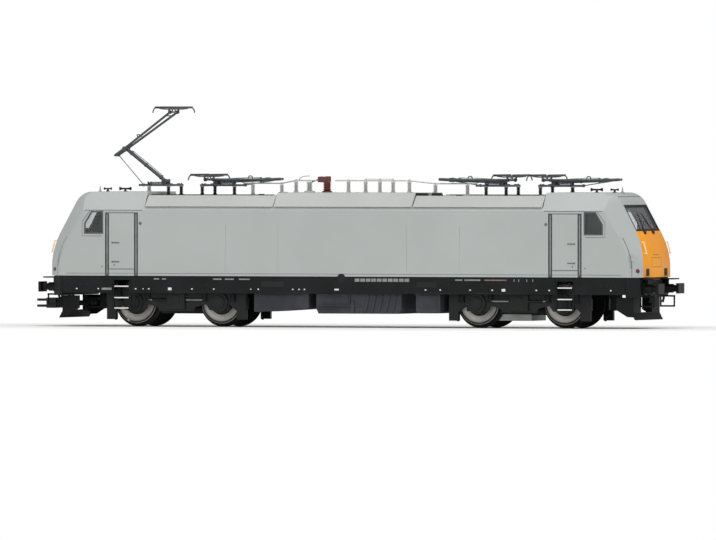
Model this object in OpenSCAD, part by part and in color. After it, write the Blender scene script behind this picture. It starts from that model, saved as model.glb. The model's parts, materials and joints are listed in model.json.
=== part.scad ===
// Scale-model electric locomotive, 1:87, four axles and four single-arm pantographs.
// Millimetres. Origin: midway between the bogie pivots, on the centre line, at the
// height of the rail tops. +X is the end without a coupler, +Z is up.

/* [Main sizes] */
// Length over the buffer faces
buffer_length = 217; // [205:0.5:240]
// Distance between the bogie pivots
pivot_spacing = 120; // [105:0.5:130]
// Distance between the two axles of a bogie
wheelbase = 29.9; // [28:0.1:34]

/* [Wheels] */
// Radius of the wheel tread
wheel_r = 7; // [6.2:0.1:7.3]
// Height of the flange beyond the tread
flange_h = 1.1; // [0.6:0.05:1.2]
// Width of a wheel, flange included
wheel_w = 2.8; // [2.4:0.1:3]
// Distance between the backs of the two wheels
back_to_back = 14.3; // [13.8:0.1:14.6]
// Radius of the axle
axle_r = 1; // [0.7:0.05:1.5]

/* [Body shell] */
// Width of the body
body_w = 34.2; // [33:0.1:42]
// Length of the body shell from nose to nose
body_len = 206.8; // [190:0.2:212]
// Height of the shell's lower edge above the rail
sole_top = 15.7; // [15.5:0.1:18]
// Height of the shell from its lower edge to the cab roof
body_h = 27.7; // [25:0.1:34]
// Width of the flat of the roof
roof_flat_w = 26.2; // [24:0.1:30]
// Thickness of the shell's walls
wall = 1.2; // [0.8:0.05:1.6]
// Distance from the centre to the joint between roof hatch and cab roof
hatch_end = 69.7; // [66:0.1:71]
// Half length of the middle roof hatch
mid_hatch_end = 24.3; // [20:0.1:27]
// Distance from the centre to the middle of a cab door
door_x = 77.5; // [76:0.1:78.5]
// Distance between the two handrails of a door
door_rail_gap = 10.2; // [9:0.1:11]

/* [Underframe] */
// Depth of the sole bar below the shell
sole_h = 5.7; // [4.5:0.1:6.2]
// Depth of the buffer beam below the shell
beam_h = 6.5; // [5.5:0.1:7]
// Height of the buffers' centre above the rail
buffer_z = 12; // [11.5:0.1:12.6]
// Distance between the buffers' centres
buffer_gap = 20.12; // [19:0.05:21]
// Height of the underside of the transformer tank above the rail
tank_z = 3.5; // [2.5:0.1:6]
// Height of the coupler above the rail
coupler_z = 6.5; // [6:0.1:6.8]
// Largest angle of the coupler to either side
coupler_swing = 12; // [5:1:14]

/* [Pantographs] */
// Distance from the centre to the foot of an outer pantograph
panto_outer_x = 68.3; // [67:0.1:72]
// Distance from the centre to the foot of an inner pantograph
panto_inner_x = 50; // [47:0.1:51]
// Length of the lower arm between its pivots
lower_arm = 17.7; // [15:0.1:20]
// How much longer the upper arm is than the lower arm
upper_arm_extra = 3; // [2:0.1:5]
// Angle by which the raised pantograph is opened
raise_deg = 35.6; // [0:0.1:42]
// Half width of the contact strips' flat part
strip_half = 8.5; // [7:0.1:10]
// Height of the roof insulators under the pantographs
foot_h = 2.9; // [2:0.1:4]

/* [Hidden] */
$fn = 48;

// Clearances: a glued or seated fit, a running fit on a radius, a free gap
fit = 0.05;
run = 0.05;
free = 0.3;

// Heights that follow from the driving sizes
half_w = body_w / 2;
nose_x = body_len / 2;
roof_top = sole_top + body_h;
mid_roof_top = roof_top - 0.2;
hatch_roof_top = roof_top - 1.1;
cab_eave = roof_top - 5.95;
hatch_eave = roof_top - 4.8;
glass_top = roof_top - 4;
glass_bottom = roof_top - 12.5;
nose_low = sole_top + 4.8;
bogie_x = pivot_spacing / 2;
beam_x = nose_x - 0.9;
axle_z = wheel_r;

// Nose outline: an upright foot, an arc up to the windscreen, the raked windscreen and
// an arc into the roof. The windscreen leans back by this angle and starts this far
// behind the foot.
rake_deg = 28.4;
glass_back = 3;
brow_r = 6;
lower_r = glass_back / (1 - cos(rake_deg));
lower_z = glass_bottom - lower_r * sin(rake_deg);
brow_z = roof_top - brow_r * (1 - sin(rake_deg));
brow_back = glass_back + (brow_z - glass_bottom) * tan(rake_deg);
arc_steps = 7;

// Half width of the nose's front face at a height
function face_half(z) = lookup(z, [
    [nose_low, 13.5], [glass_bottom, 12.1], [glass_top, 11.8], [roof_top, 11.4]]);

// Half width inside the shell's sloped cab wall at a height
function inside_half(z) = lookup(z, [
    [cab_eave - 0.3 * wall, half_w - wall],
    [roof_top - wall, roof_flat_w / 2 - 0.44 * wall]]);

// Distance behind the foot and height of each point of the outline
nose = concat(
    [[0, sole_top]],
    [for (i = [0:arc_steps])
        let (a = rake_deg * i / arc_steps)
        [lower_r * (1 - cos(a)), lower_z + lower_r * sin(a)]],
    [[glass_back + (glass_top - glass_bottom) * tan(rake_deg), glass_top]],
    [for (i = [0:arc_steps])
        let (a = rake_deg + (90 - rake_deg) * i / arc_steps)
        [brow_back + brow_r * (cos(rake_deg) - cos(a)), brow_z + brow_r * (sin(a) - sin(rake_deg))]]
);
// How far the cheek runs back for each millimetre of width
cheek_slope = 1.12;
// Horizontal thickness of the raked nose for one millimetre of wall
rake = 1.15;

// ---------- small helpers ----------

// The children at both ends, the second turned half round
module both_ends() {
    children();
    rotate([0, 0, 180]) children();
}

// The children on both sides of the centre plane
module both_sides() {
    children();
    mirror([0, 1, 0]) children();
}

// The children at all four corners
module four_corners() {
    both_sides() {
        children();
        mirror([1, 0, 0]) children();
    }
}

// A plate across the centre plane from a side-view outline
module across(width) {
    rotate([90, 0, 0])
        linear_extrude(height = width, center = true)
            children();
}

// A round bar between two points
module bar(from, to, r) {
    d = to - from;
    flat = norm([d[0], d[1]]);
    translate(from)
        rotate([0, atan2(flat, d[2]), atan2(d[1], d[0])])
            cylinder(h = norm(d), r = r);
}

// A round bar along Y, centred on a point
module cross_bar(at, half, r) {
    translate(at)
        rotate([90, 0, 0])
            cylinder(h = 2 * half, r = r, center = true);
}

// A box from its low corner to its high corner
module block(low, high) {
    translate(low) cube(high - low);
}

// ---------- body shell ----------

function nose_side(inset) = [for (p = nose)
    [nose_x - p[0] - rake * inset, min(p[1], roof_top - inset)]];

function nose_cheek(inset) = [for (p = nose)
    [(nose_x - p[0] + cheek_slope * face_half(p[1])) / norm([1, cheek_slope]) - inset,
        min(p[1], roof_top - inset)]];

// Both ends of an outline, closed along the bottom
function both_noses(points) = concat(
    [for (p = points) p],
    [for (i = [len(points) - 1:-1:0]) [-points[i][0], points[i][1]]]);

module cab_section(inset) {
    slope_in = inset * 1.1;
    polygon([
        [-half_w + inset, sole_top - 1],
        [-half_w + inset, cab_eave - inset * 0.3],
        [-roof_flat_w / 2 + slope_in * 0.4, roof_top - inset],
        [roof_flat_w / 2 - slope_in * 0.4, roof_top - inset],
        [half_w - inset, cab_eave - inset * 0.3],
        [half_w - inset, sole_top - 1]
    ]);
}

// Whole outer form of the shell, both cabs and the space between, less an inset
module shell_form(inset) {
    intersection() {
        rotate([90, 0, 90])
            linear_extrude(height = body_len + 10, center = true)
                cab_section(inset);
        across(body_w + 10) polygon(both_noses(nose_side(inset)));
        rotate([0, 0, atan(cheek_slope)])
            across(2 * body_len) polygon(both_noses(nose_cheek(inset)));
        rotate([0, 0, -atan(cheek_slope)])
            across(2 * body_len) polygon(both_noses(nose_cheek(inset)));
    }
}

// Front face of the nose between two heights, as a solid that reaches forward
module face_region(low, high, side_gap) {
    pts = concat([[low, face_half(low)]],
        [for (p = nose) if (p[1] > low && p[1] < high) [p[1], face_half(p[1])]],
        [[high, face_half(high)]]);
    rotate([90, 0, 90])
        translate([0, 0, nose_x - 16])
            linear_extrude(height = 30)
                polygon(concat([for (p = pts) [p[1] - side_gap, p[0]]],
                    [for (i = [len(pts) - 1:-1:0]) [side_gap - pts[i][1], pts[i][0]]]));
}

side_window_low = roof_top - 13.9;
side_window_high = roof_top - 6.3;
side_window_back = nose_x - 19.4;
side_window_front = nose_x - 12.7;

// Side window outline, shrunk by a margin, in side view at the +X end
module side_window_outline(margin) {
    polygon([
        [side_window_back + margin, side_window_low + margin],
        [side_window_front - margin, side_window_low + margin],
        [side_window_front - margin, side_window_high - 4.1],
        [side_window_front - 2.5 - margin, side_window_high - margin],
        [side_window_back + margin, side_window_high - margin]
    ]);
}

groove_w = 1.4;
groove_depth = 0.5;
groove_top = cab_eave - 0.85;

// Upright groove for a door handrail
module rail_groove(x) {
    block([x - groove_w / 2, half_w - groove_depth, sole_top - 1],
        [x + groove_w / 2, half_w + 1, groove_top]);
}

door_line = 0.25;

// Shallow panel lines of the door between its two grooves
module door_lines() {
    rear = door_x - door_rail_gap / 2;
    front = door_x + door_rail_gap / 2;
    block([rear, half_w - door_line, sole_top + 2.1],
        [front, half_w + 1, sole_top + 2.1 + door_line]);
    block([rear, half_w - door_line, groove_top - door_line],
        [front, half_w + 1, groove_top]);
}

lamp_y = 9;
lamp_z = sole_top + 1.7;
lamp_w = 2;
lamp_h = 2.3;
lamp_depth = 0.6;
tail_y = 14.8;
tail_z = sole_top + 2.1;
tail_r = 0.6;

// Places its children on the cheek beside the front, Z pointing out of the cheek
module on_cheek() {
    translate([nose_x - cheek_slope * (tail_y - face_half(tail_z)), tail_y, tail_z])
        rotate([0, 90, atan(cheek_slope)])
            children();
}

module body_shell() {
    color([0.675, 0.694, 0.686])
        difference() {
            shell_form(0);
            intersection() {
                shell_form(wall);
                // leaves a closed cab roof and an open middle
                block([-body_len, -body_w, sole_top - 2], [body_len, body_w, roof_top]);
            }
            block([-hatch_end, -body_w, hatch_eave], [hatch_end, body_w, roof_top + 5]);
            both_ends() {
                face_region(sole_top - 1, glass_bottom, 0);
                face_region(glass_bottom, glass_top, 0.4);
            }
            four_corners() {
                translate([0, half_w, 0]) across(4 * wall) side_window_outline(0);
                rail_groove(door_x - door_rail_gap / 2);
                rail_groove(door_x + door_rail_gap / 2);
                door_lines();
                on_cheek() cylinder(h = 2, r = tail_r + fit, center = true);
            }
        }
}

// The space between hatch eave and roof that the side walls leave at the hatches
module hatch_section(top, inset) {
    polygon([
        [-half_w + inset, hatch_eave - inset],
        [-roof_flat_w / 2 + inset * 0.5, top - inset],
        [roof_flat_w / 2 - inset * 0.5, top - inset],
        [half_w - inset, hatch_eave - inset]
    ]);
}

// A roof hatch from one station to another
module roof_hatch(from, to, top) {
    rotate([90, 0, 90])
        translate([0, 0, from])
            linear_extrude(height = to - from)
                difference() {
                    hatch_section(top, 0);
                    hatch_section(top, wall);
                }
}

module roof_hatch_a() {
    color([0.79, 0.8, 0.78])
        roof_hatch(-hatch_end + free, -mid_hatch_end - free / 2, hatch_roof_top);
}

module roof_hatch_middle() {
    color([0.79, 0.8, 0.78])
        roof_hatch(-mid_hatch_end + free / 2, mid_hatch_end - free / 2, mid_roof_top);
}

module roof_hatch_b() {
    color([0.79, 0.8, 0.78])
        roof_hatch(mid_hatch_end + free / 2, hatch_end - free, hatch_roof_top);
}

// ---------- nose ----------

// Nose wall between two heights at the +X end
module nose_wall(low, high, proud, side_gap, thick) {
    intersection() {
        difference() {
            shell_form(-proud);
            shell_form(thick);
        }
        face_region(low, high, side_gap);
    }
}

module lamp_pocket(grow) {
    block([nose_x - lamp_depth, lamp_y - lamp_w / 2 - grow, lamp_z - lamp_h / 2 - grow],
        [nose_x + 2, lamp_y + lamp_w / 2 + grow, lamp_z + lamp_h / 2 + grow]);
}

module nose_panel() {
    color([0.94, 0.65, 0.2])
        difference() {
            nose_wall(sole_top, glass_bottom - fit, 0, fit, wall);
            both_sides() lamp_pocket(fit);
        }
}

module windscreen() {
    color([0.09, 0.1, 0.11])
        nose_wall(glass_bottom, glass_top - fit, -0.1, 0.4 + fit, wall);
}

module nose_panel_a() { rotate([0, 0, 180]) nose_panel(); }
module nose_panel_b() { nose_panel(); }
module windscreen_a() { rotate([0, 0, 180]) windscreen(); }
module windscreen_b() { windscreen(); }

module side_windows() {
    color([0.14, 0.16, 0.18])
        four_corners()
            translate([0, half_w - 0.25 - wall / 2, 0])
                across(wall) side_window_outline(fit);
}

module headlamps() {
    color([0.85, 0.87, 0.86])
        both_ends()
            both_sides()
                block([nose_x - lamp_depth + fit, lamp_y - lamp_w / 2, lamp_z - lamp_h / 2],
                    [nose_x + 0.15, lamp_y + lamp_w / 2, lamp_z + lamp_h / 2]);
}

module tail_lamps() {
    color([0.6, 0.05, 0.05])
        four_corners()
            on_cheek() translate([0, 0, -0.8]) cylinder(h = 1, r = tail_r);
}

rail_r = 0.22;

// A handrail stood off a wall on two feet
module upright_rail(x, y, foot_y, low, high) {
    bar([x, y, low], [x, y, high], rail_r);
    for (z = [low + 0.6, high - 0.6])
        bar([x, foot_y, z], [x, y, z], rail_r);
}

module door_handrails() {
    color([0.62, 0.64, 0.63])
        four_corners()
            for (x = [door_x - door_rail_gap / 2, door_x + door_rail_gap / 2])
                upright_rail(x, half_w - 0.1, half_w - groove_depth + fit,
                    sole_top + 0.8, groove_top - 0.6);
}

grab_low = glass_bottom - 7.3;
grab_high = glass_bottom - 3.7;
grab_out = 1;

// Front position of the nose at a height
function nose_front(z) = nose_x - lookup(z, [for (p = nose) [p[1], p[0]]]);

module nose_grab_rails() {
    y = face_half(grab_high) - 0.7;
    color([0.75, 0.76, 0.74])
        four_corners() {
            bar([nose_front(grab_low) + grab_out, y, grab_low],
                [nose_front(grab_high) + grab_out, y, grab_high], rail_r);
            for (z = [grab_low, grab_high])
                bar([nose_front(z) + 3 * fit, y, z],
                    [nose_front(z) + grab_out + rail_r, y, z], rail_r);
        }
}

// ---------- inside the shell ----------

plate_z = sole_top + 0.2;
plate_t = 1.4;
pin_r = 2.45;
shoulder_r = 4;
block_end = door_x - 3;
bogie_top = 13.2;
pin_depth = 2.6;
cab_floor = plate_z + plate_t;

module chassis_block() {
    inner = half_w - wall - fit;
    color([0.35, 0.36, 0.37]) {
        difference() {
            union() {
                block([-nose_x + 5, -inner, plate_z], [nose_x - 5, inner, cab_floor]);
                block([-block_end, -inner + 2, plate_z], [block_end, inner - 2, hatch_eave - 3]);
                for (x = [-bogie_x, bogie_x])
                    translate([x, 0, 0]) {
                        translate([0, 0, bogie_top + fit])
                            cylinder(h = plate_z - bogie_top, r = shoulder_r);
                        translate([0, 0, bogie_top - pin_depth])
                            cylinder(h = pin_depth + 1, r = pin_r);
                    }
            }
            // corners cut to the plan of the nose
            for (turn = [-1, 1], end = [-1, 1])
                rotate([0, 0, turn * atan(cheek_slope)])
                    translate([end * (nose_cheek(wall + fit)[0][0] + 20), 0, plate_z])
                        cube([40, 200, 20], center = true);
        }
    }
}

desk_x = nose_x - 11.5;

// Floor, rear wall, desk and seats of one cab at the +X end
module cab_interior() {
    inner = half_w - wall - 1;
    rear_top = side_window_high + 1;
    rear_half = min(inner, inside_half(rear_top) - fit);
    color([0.3, 0.31, 0.33]) {
        block([block_end + 6, -inner, cab_floor + fit], [desk_x, inner, cab_floor + 0.8]);
        block([block_end + 6, -rear_half, cab_floor + fit],
            [block_end + 7, rear_half, rear_top]);
        block([desk_x - 0.5, -inner + 4, cab_floor + fit],
            [desk_x + 4, inner - 4, glass_bottom - 5]);
        block([desk_x - 1.5, -inner + 4, glass_bottom - 5.5],
            [desk_x + 4.5, inner - 4, glass_bottom - 4]);
        for (y = [-6, 6]) {
            block([desk_x - 7, y - 2, cab_floor + 0.5], [desk_x - 3.5, y + 2, glass_bottom - 8]);
            block([desk_x - 8, y - 2, cab_floor + 0.5], [desk_x - 6.8, y + 2, glass_bottom - 2]);
        }
    }
}

module cab_interior_a() { rotate([0, 0, 180]) cab_interior(); }
module cab_interior_b() { cab_interior(); }

// ---------- underframe ----------

sole_t = 1;
ledge_w = 0.8;
step_w = 5.4;
step_rail_t = 0.5;
step_front = door_x + step_w / 2 + step_rail_t;
step_back = door_x - step_w / 2 - step_rail_t;
step_top = sole_top - 1.4;
sole_end = nose_x - 5;

// Side sills with an inner ledge under the chassis, notched for the steps
module sole_bars() {
    color([0.13, 0.13, 0.14])
        both_sides()
            difference() {
                union() {
                    block([-sole_end, half_w - sole_t, sole_top - sole_h],
                        [sole_end, half_w, sole_top - fit]);
                    block([-sole_end, half_w - sole_t - ledge_w, sole_top - 0.8],
                        [sole_end, half_w - sole_t, sole_top - fit]);
                }
                for (side = [-1, 1])
                    translate([side * door_x, half_w, step_top - 10])
                        cube([step_w + 2 * step_rail_t + 2 * fit, 2 * sole_t + 1, 20],
                            center = true);
            }
}

corner_y = 14;

// Buffer beam across each end with its corner pieces
module buffer_beams() {
    color([0.13, 0.13, 0.14])
        both_ends()
            difference() {
                translate([0, 0, sole_top - beam_h])
                    linear_extrude(height = beam_h - fit)
                        polygon([
                            [sole_end + fit, -half_w], [sole_end + fit, half_w],
                            [beam_x - 3.2, half_w], [beam_x, corner_y],
                            [beam_x, -corner_y], [beam_x - 3.2, -half_w]
                        ]);
                // hollow behind the beam
                block([0, -half_w + 2.5, 0], [plough_x - 1, half_w - 2.5, sole_top - 0.8]);
            }
}

buffer_x = buffer_length / 2;
buffer_y = buffer_gap / 2;
buffer_head_w = 6;
buffer_head_h = 3.4;

module buffers() {
    color([0.11, 0.11, 0.12])
        both_ends()
            both_sides() {
                block([buffer_x - 0.9, buffer_y - buffer_head_w / 2, buffer_z - buffer_head_h / 2],
                    [buffer_x, buffer_y + buffer_head_w / 2, buffer_z + buffer_head_h / 2]);
                bar([beam_x + 2.6, buffer_y, buffer_z], [buffer_x - 0.5, buffer_y, buffer_z], 1.15);
                bar([beam_x + 0.6, buffer_y, buffer_z], [beam_x + 3.2, buffer_y, buffer_z], 1.45);
                block([beam_x + fit, buffer_y - 2, buffer_z - 2],
                    [beam_x + 0.8, buffer_y + 2, buffer_z + 2]);
                // foot plate over the buffer
                block([beam_x + fit, buffer_y - 3.2, sole_top - 0.8],
                    [buffer_x - 1.7, buffer_y + 2.9, sole_top - 0.35]);
                block([beam_x + fit, buffer_y - 0.4, buffer_z], [beam_x + 1.6, buffer_y + 0.4, sole_top - 0.5]);
            }
}

grip_low = 6.2;
grip_r = 0.28;
grip_x = beam_x + 3.5;

// Bent handle below each buffer, from the beam forward, down and back
module shunter_grips() {
    y = buffer_y;
    top = sole_top - beam_h + 0.3;
    color([0.16, 0.16, 0.17])
        both_ends()
            both_sides() {
                bar([beam_x + fit, y, top], [grip_x + grip_r, y, top], grip_r);
                bar([grip_x, y, grip_low - grip_r], [grip_x, y, top], grip_r);
                bar([beam_x - 1.2, y, grip_low], [grip_x, y, grip_low], grip_r);
                bar([beam_x - 1.2, y, grip_low - grip_r],
                    [beam_x - 1.2, y, sole_top - beam_h - fit], grip_r);
            }
}

plough_half = 13.2;
plough_t = 0.7;
plough_x = beam_x - 2.6;
plough_low = 1.75;

// Blade with a notch for the coupler and a side plate at each end
module plough() {
    top = sole_top - beam_h - fit;
    notch = 5.5;
    color([0.13, 0.13, 0.14]) {
        difference() {
            across(2 * plough_half)
                polygon([
                    [plough_x, top], [plough_x - plough_t, top],
                    [plough_x - plough_t, plough_low + 2],
                    [plough_x + 0.5, plough_low], [plough_x + 1.2, plough_low],
                    [plough_x, plough_low + 2.3]
                ]);
            block([plough_x - 3, -notch, coupler_z - 2.2], [plough_x + 3, notch, top + 1]);
        }
        both_sides()
            translate([0, plough_half - plough_t / 2, 0])
                across(plough_t)
                    polygon([
                        [plough_x - 0.1, top], [plough_x - 6, top],
                        [plough_x - 6, plough_low + 3.3], [plough_x - 2.2, plough_low + 1],
                        [plough_x - 0.1, plough_low + 0.9]
                    ]);
    }
}

module plough_a() { rotate([0, 0, 180]) plough(); }
module plough_b() { plough(); }

step_heights = [5.07, 8.5, 12.25];
step_out = half_w + 0.1;
step_in = half_w - 1.2;

module cab_steps() {
    color([0.2, 0.2, 0.21])
        four_corners() {
            for (z = step_heights)
                block([step_back, step_in, z - 0.25], [step_front, step_out, z + 0.2]);
            for (x = [step_back, step_front - step_rail_t])
                block([x, step_in + 0.3, step_heights[0] - 0.25], [x + step_rail_t, half_w - 0.1, step_top - fit]);
        }
}

tank_back = -9.8;
tank_front = 20;
tank_half = half_w - sole_t - ledge_w - 0.1;
hang_top = plate_z - fit;

module transformer_tank() {
    color([0.12, 0.12, 0.13]) {
        across(2 * tank_half)
            polygon([
                [tank_back, hang_top], [tank_back, tank_z + 1.6],
                [tank_back + 0.8, tank_z], [tank_front - 0.8, tank_z],
                [tank_front, tank_z + 1.6], [tank_front, hang_top]
            ]);
        both_sides() {
            // rib, cooling fins and lower edge strip on the flank
            block([2.4, tank_half - 0.2, tank_z], [3.6, tank_half + 0.5, tank_z + 4]);
            for (i = [0:4])
                translate([7 + i * 2.4, tank_half, 0])
                    across(1)
                        polygon([[0, tank_z + 0.6], [0.7, tank_z + 0.6], [2, tank_z + 6], [1.3, tank_z + 6]]);
            block([tank_back + 0.4, tank_half - 0.2, tank_z + 2.4],
                [6, tank_half + 0.35, tank_z + 2.8]);
        }
    }
}

module equipment_boxes() {
    color([0.12, 0.12, 0.13]) {
        across(2 * tank_half - 0.6)
            polygon([
                [-31.7, hang_top], [-31.7, tank_z + 0.6], [-30.9, tank_z + 0.4],
                [-13.3, tank_z + 1.5], [-12.5, tank_z + 1.9], [-12.5, hang_top]
            ]);
        across(2 * tank_half - 0.6)
            polygon([
                [24.9, hang_top], [24.9, tank_z + 1], [25.7, tank_z + 0.2],
                [32.6, tank_z + 0.2], [33.4, tank_z + 1], [33.4, hang_top]
            ]);
    }
}

hook_x = 93;
fork_half = 3;
fork_t = 0.8;
fork_gap = 2;
hook_pin_r = 0.8;

// Fork with its pin below each buffer beam, hung from the chassis
module coupler_pockets() {
    color([0.15, 0.15, 0.16])
        both_ends() {
            for (z = [coupler_z - fork_gap / 2 - fork_t, coupler_z + fork_gap / 2])
                block([hook_x - 4, -fork_half, z], [hook_x + 2.5, fork_half, z + fork_t]);
            block([hook_x - 4.5, -fork_half, coupler_z - fork_gap / 2 - fork_t],
                [hook_x - 2.5, fork_half, plate_z - fit]);
            translate([hook_x, 0, coupler_z - fork_gap / 2 - 0.1])
                cylinder(h = fork_gap + 0.2, r = hook_pin_r);
        }
}

coupler_reach = 113.6;
shank_half = 1.1;

// Coupler at the -X end: eye, shank, head and two prongs
module coupler_head() {
    low = coupler_z - fork_gap / 2 + 0.15;
    high = coupler_z + fork_gap / 2 - 0.15;
    color([0.14, 0.14, 0.15])
        difference() {
            union() {
                translate([-hook_x, 0, low]) cylinder(h = high - low, r = 1.7);
                block([-buffer_x + 2.5, -shank_half, low], [-hook_x, shank_half, high]);
                block([-buffer_x - 1, -3, coupler_z - 1.7], [-buffer_x + 2.5, 3, coupler_z + 1.7]);
                // tapered neck between head and shank
                translate([0, 0, coupler_z - 1.3])
                    linear_extrude(height = 2.6)
                        polygon([
                            [-buffer_x + 2, -2.6], [-buffer_x + 2, 2.6], [-buffer_x + 6.5, 1.8],
                            [-buffer_x + 9, shank_half], [-buffer_x + 9, -shank_half],
                            [-buffer_x + 6.5, -1.8]
                        ]);
                for (z = [coupler_z - 1.4, coupler_z + 0.6])
                    translate([0, 0, z])
                        linear_extrude(height = 0.8)
                            polygon([
                                [-buffer_x - 0.9, -2.4], [-buffer_x - 0.9, 2.4],
                                [-coupler_reach + 0.8, 1.6], [-coupler_reach, 0.8],
                                [-coupler_reach, -0.8], [-coupler_reach + 0.8, -1.6]
                            ]);
            }
            translate([-hook_x, 0, 0]) cylinder(h = 20, r = hook_pin_r + run);
        }
}

// ---------- bogies ----------

gear_half = back_to_back / 2 - 0.55;
wheel_out = back_to_back / 2 + wheel_w;
side_in = wheel_out + 0.65;
side_t = 1.6;
side_out = side_in + side_t;
side_top = sole_top - sole_h + 1.6;
frame_reach = wheelbase / 2 + 9.6;
half_base = wheelbase / 2;
frame_low = 4;

// Side frame outline with its guard irons
module side_frame_outline() {
    polygon([
        [-frame_reach, side_top - 0.6], [-frame_reach, 1.3], [-frame_reach + 3.4, 1.3],
        [-frame_reach + 3.4, 4.2], [-half_base - 3.6, axle_z - 0.6],
        [-half_base - 3.3, axle_z - 2.6], [-half_base + 3.3, axle_z - 2.6],
        [-half_base + 4.6, axle_z - 0.6], [-half_base + 8.2, frame_low + 1.4],
        [-half_base + 9, frame_low], [half_base - 9, frame_low],
        [half_base - 8.2, frame_low + 1.4], [half_base - 4.6, axle_z - 0.6],
        [half_base - 3.3, axle_z - 2.6], [half_base + 3.3, axle_z - 2.6],
        [half_base + 3.6, axle_z - 0.6], [frame_reach - 3.4, 4.2],
        [frame_reach - 3.4, 1.3], [frame_reach, 1.3], [frame_reach, side_top - 0.6],
        [half_base + 5, side_top], [-half_base - 5, side_top]
    ]);
}

// Axle box with its cover, spring pots and a damper on one side frame
module side_fittings() {
    for (x = [-half_base, half_base]) {
        translate([x, side_out, axle_z])
            rotate([-90, 0, 0]) {
                cylinder(h = 0.6, r = 3.3);
                cylinder(h = 1, r = 2.2);
            }
        for (dx = [-5, 5])
            bar([x + dx, side_out - 0.1, axle_z + 0.4], [x + dx, side_out - 0.1, side_top - 0.1], 0.9);
    }
    // traction block in the middle and damper beside it
    block([-3.2, side_out - 0.1, frame_low + 0.6], [3.2, side_out + 0.8, side_top - 0.4]);
    bar([3, side_out + 0.3, axle_z + 0.8], [half_base - 6.6, side_out + 0.3, axle_z + 0.8], 0.5);
}

// Sand pipe beside each wheel, from the guard iron to the rail
module sand_pipes() {
    for (end = [-1, 1]) {
        bar([end * (frame_reach - 1.4), side_in + 0.3, 3.4],
            [end * (frame_reach - 1.6), wheel_out - 1, 2.6], 0.4);
        bar([end * (frame_reach - 1.6), wheel_out - 1, 2.8],
            [end * (frame_reach - 2.1), wheel_out - 1, 1.1], 0.4);
    }
}

module bogie_frame() {
    color([0.12, 0.12, 0.13])
        difference() {
            union() {
                // gear block between the wheels, with the bolster to the side frames
                block([-half_base - 2.6, -gear_half, 3.2], [half_base + 2.6, gear_half, bogie_top]);
                block([-5.2, -side_in - 0.5, 8], [5.2, side_in + 0.5, 10.9]);
                both_sides() {
                    translate([0, side_in + side_t / 2, 0]) across(side_t) side_frame_outline();
                    side_fittings();
                    sand_pipes();
                }
            }
            for (x = [-half_base, half_base])
                cross_bar([x, 0, axle_z], side_in - 0.3, axle_r + run);
            translate([0, 0, bogie_top - pin_depth - 0.4]) cylinder(h = 10, r = pin_r + run);
        }
}

// Metal keeper plate under the +X bogie only
keeper_back = -9.5;
keeper_front = 2.5;

module bogie_frame_a() { translate([-bogie_x, 0, 0]) rotate([0, 0, 180]) bogie_frame(); }

module bogie_frame_b() {
    translate([bogie_x, 0, 0]) {
        bogie_frame();
        color([0.52, 0.55, 0.52])
            block([keeper_back, -gear_half - 0.4, 1.3], [keeper_front, gear_half + 0.4, 3.5]);
    }
}

// Axle and its two wheels about the Y axis
module wheelset(x) {
    back = back_to_back / 2;
    out = back + wheel_w;
    rim_in = wheel_r - 0.7;
    color([0.72, 0.71, 0.68])
        translate([x, 0, axle_z])
            rotate([90, 0, 0]) {
                cylinder(h = 2 * out - 0.4, r = axle_r, center = true);
                for (side = [0, 1])
                    mirror([0, 0, side])
                        rotate_extrude($fn = 72)
                            polygon([
                                [0, back + 0.3], [2.2, back + 0.3], [2.6, back],
                                [wheel_r + flange_h - 0.25, back],
                                [wheel_r + flange_h, back + 0.25], [wheel_r + flange_h, back + 0.5],
                                [wheel_r + 0.25, back + 0.95], [wheel_r, out - 0.25],
                                [wheel_r - 0.2, out], [rim_in, out], [rim_in - 0.25, out - 0.35],
                                [2.5, out - 0.55], [2.3, out - 0.1], [0, out - 0.1]
                            ]);
            }
}

module wheelset_1() { wheelset(-bogie_x - half_base); }
module wheelset_2() { wheelset(-bogie_x + half_base); }
module wheelset_3() { wheelset(bogie_x - half_base); }
module wheelset_4() { wheelset(bogie_x + half_base); }

// ---------- pantographs ----------

// Foot position and the way the knee points for each pantograph
feet = [[-panto_outer_x, -1], [-panto_inner_x, 1], [panto_inner_x, -1], [panto_outer_x, 1]];
// Opening angle of each pantograph
opened = [raise_deg, 0, 0, 0];

base_z = hatch_roof_top + foot_h;
base_t = 0.7;
hinge_z = base_z + 1.6;
folded_deg = 2;
pair_back = 3.2;
pair_half = 6;
single_front = 5.9;
tail = 4.2;
rod_y = 2.6;
rod_foot = 8.8;
rod_foot_z = base_z + 0.4;
knee_half = 1.6;
fork_out = 3.5;
arm_r = 0.6;
tube_r = 0.38;
hinge_pin_r = 0.4;
knee_hub_half = 0.9;
upper_arm = lower_arm + upper_arm_extra;

// Arm angles for an opening
function low_deg(i) = folded_deg + opened[i];
function up_deg(i) = opened[i];
// Knee, head pivot and rod eye seen from the side, along the knee's direction
function knee(i) = [lower_arm * cos(low_deg(i)), hinge_z + lower_arm * sin(low_deg(i))];
function head_at(i) = knee(i) + upper_arm * [-cos(up_deg(i)), sin(up_deg(i))];
function rod_eye(i) = knee(i) + tail * [cos(up_deg(i) - 2.5), -sin(up_deg(i) - 2.5)];

// Puts the children on the foot of a pantograph, knee towards +X before turning
module on_foot(i) {
    translate([feet[i][0], 0, 0])
        mirror([feet[i][1] < 0 ? 1 : 0, 0, 0])
            children();
}

// Ribbed post insulator, its foot at z = 0
module post(height, r) {
    cylinder(h = height, r = r * 0.72);
    cylinder(h = 0.35, r = r);
    for (k = [1:3])
        translate([0, 0, k * height / 4 - 0.16]) cylinder(h = 0.32, r = r);
    translate([0, 0, height - 0.3]) cylinder(h = 0.3, r = r * 0.85);
}

post_r = 0.75;

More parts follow.
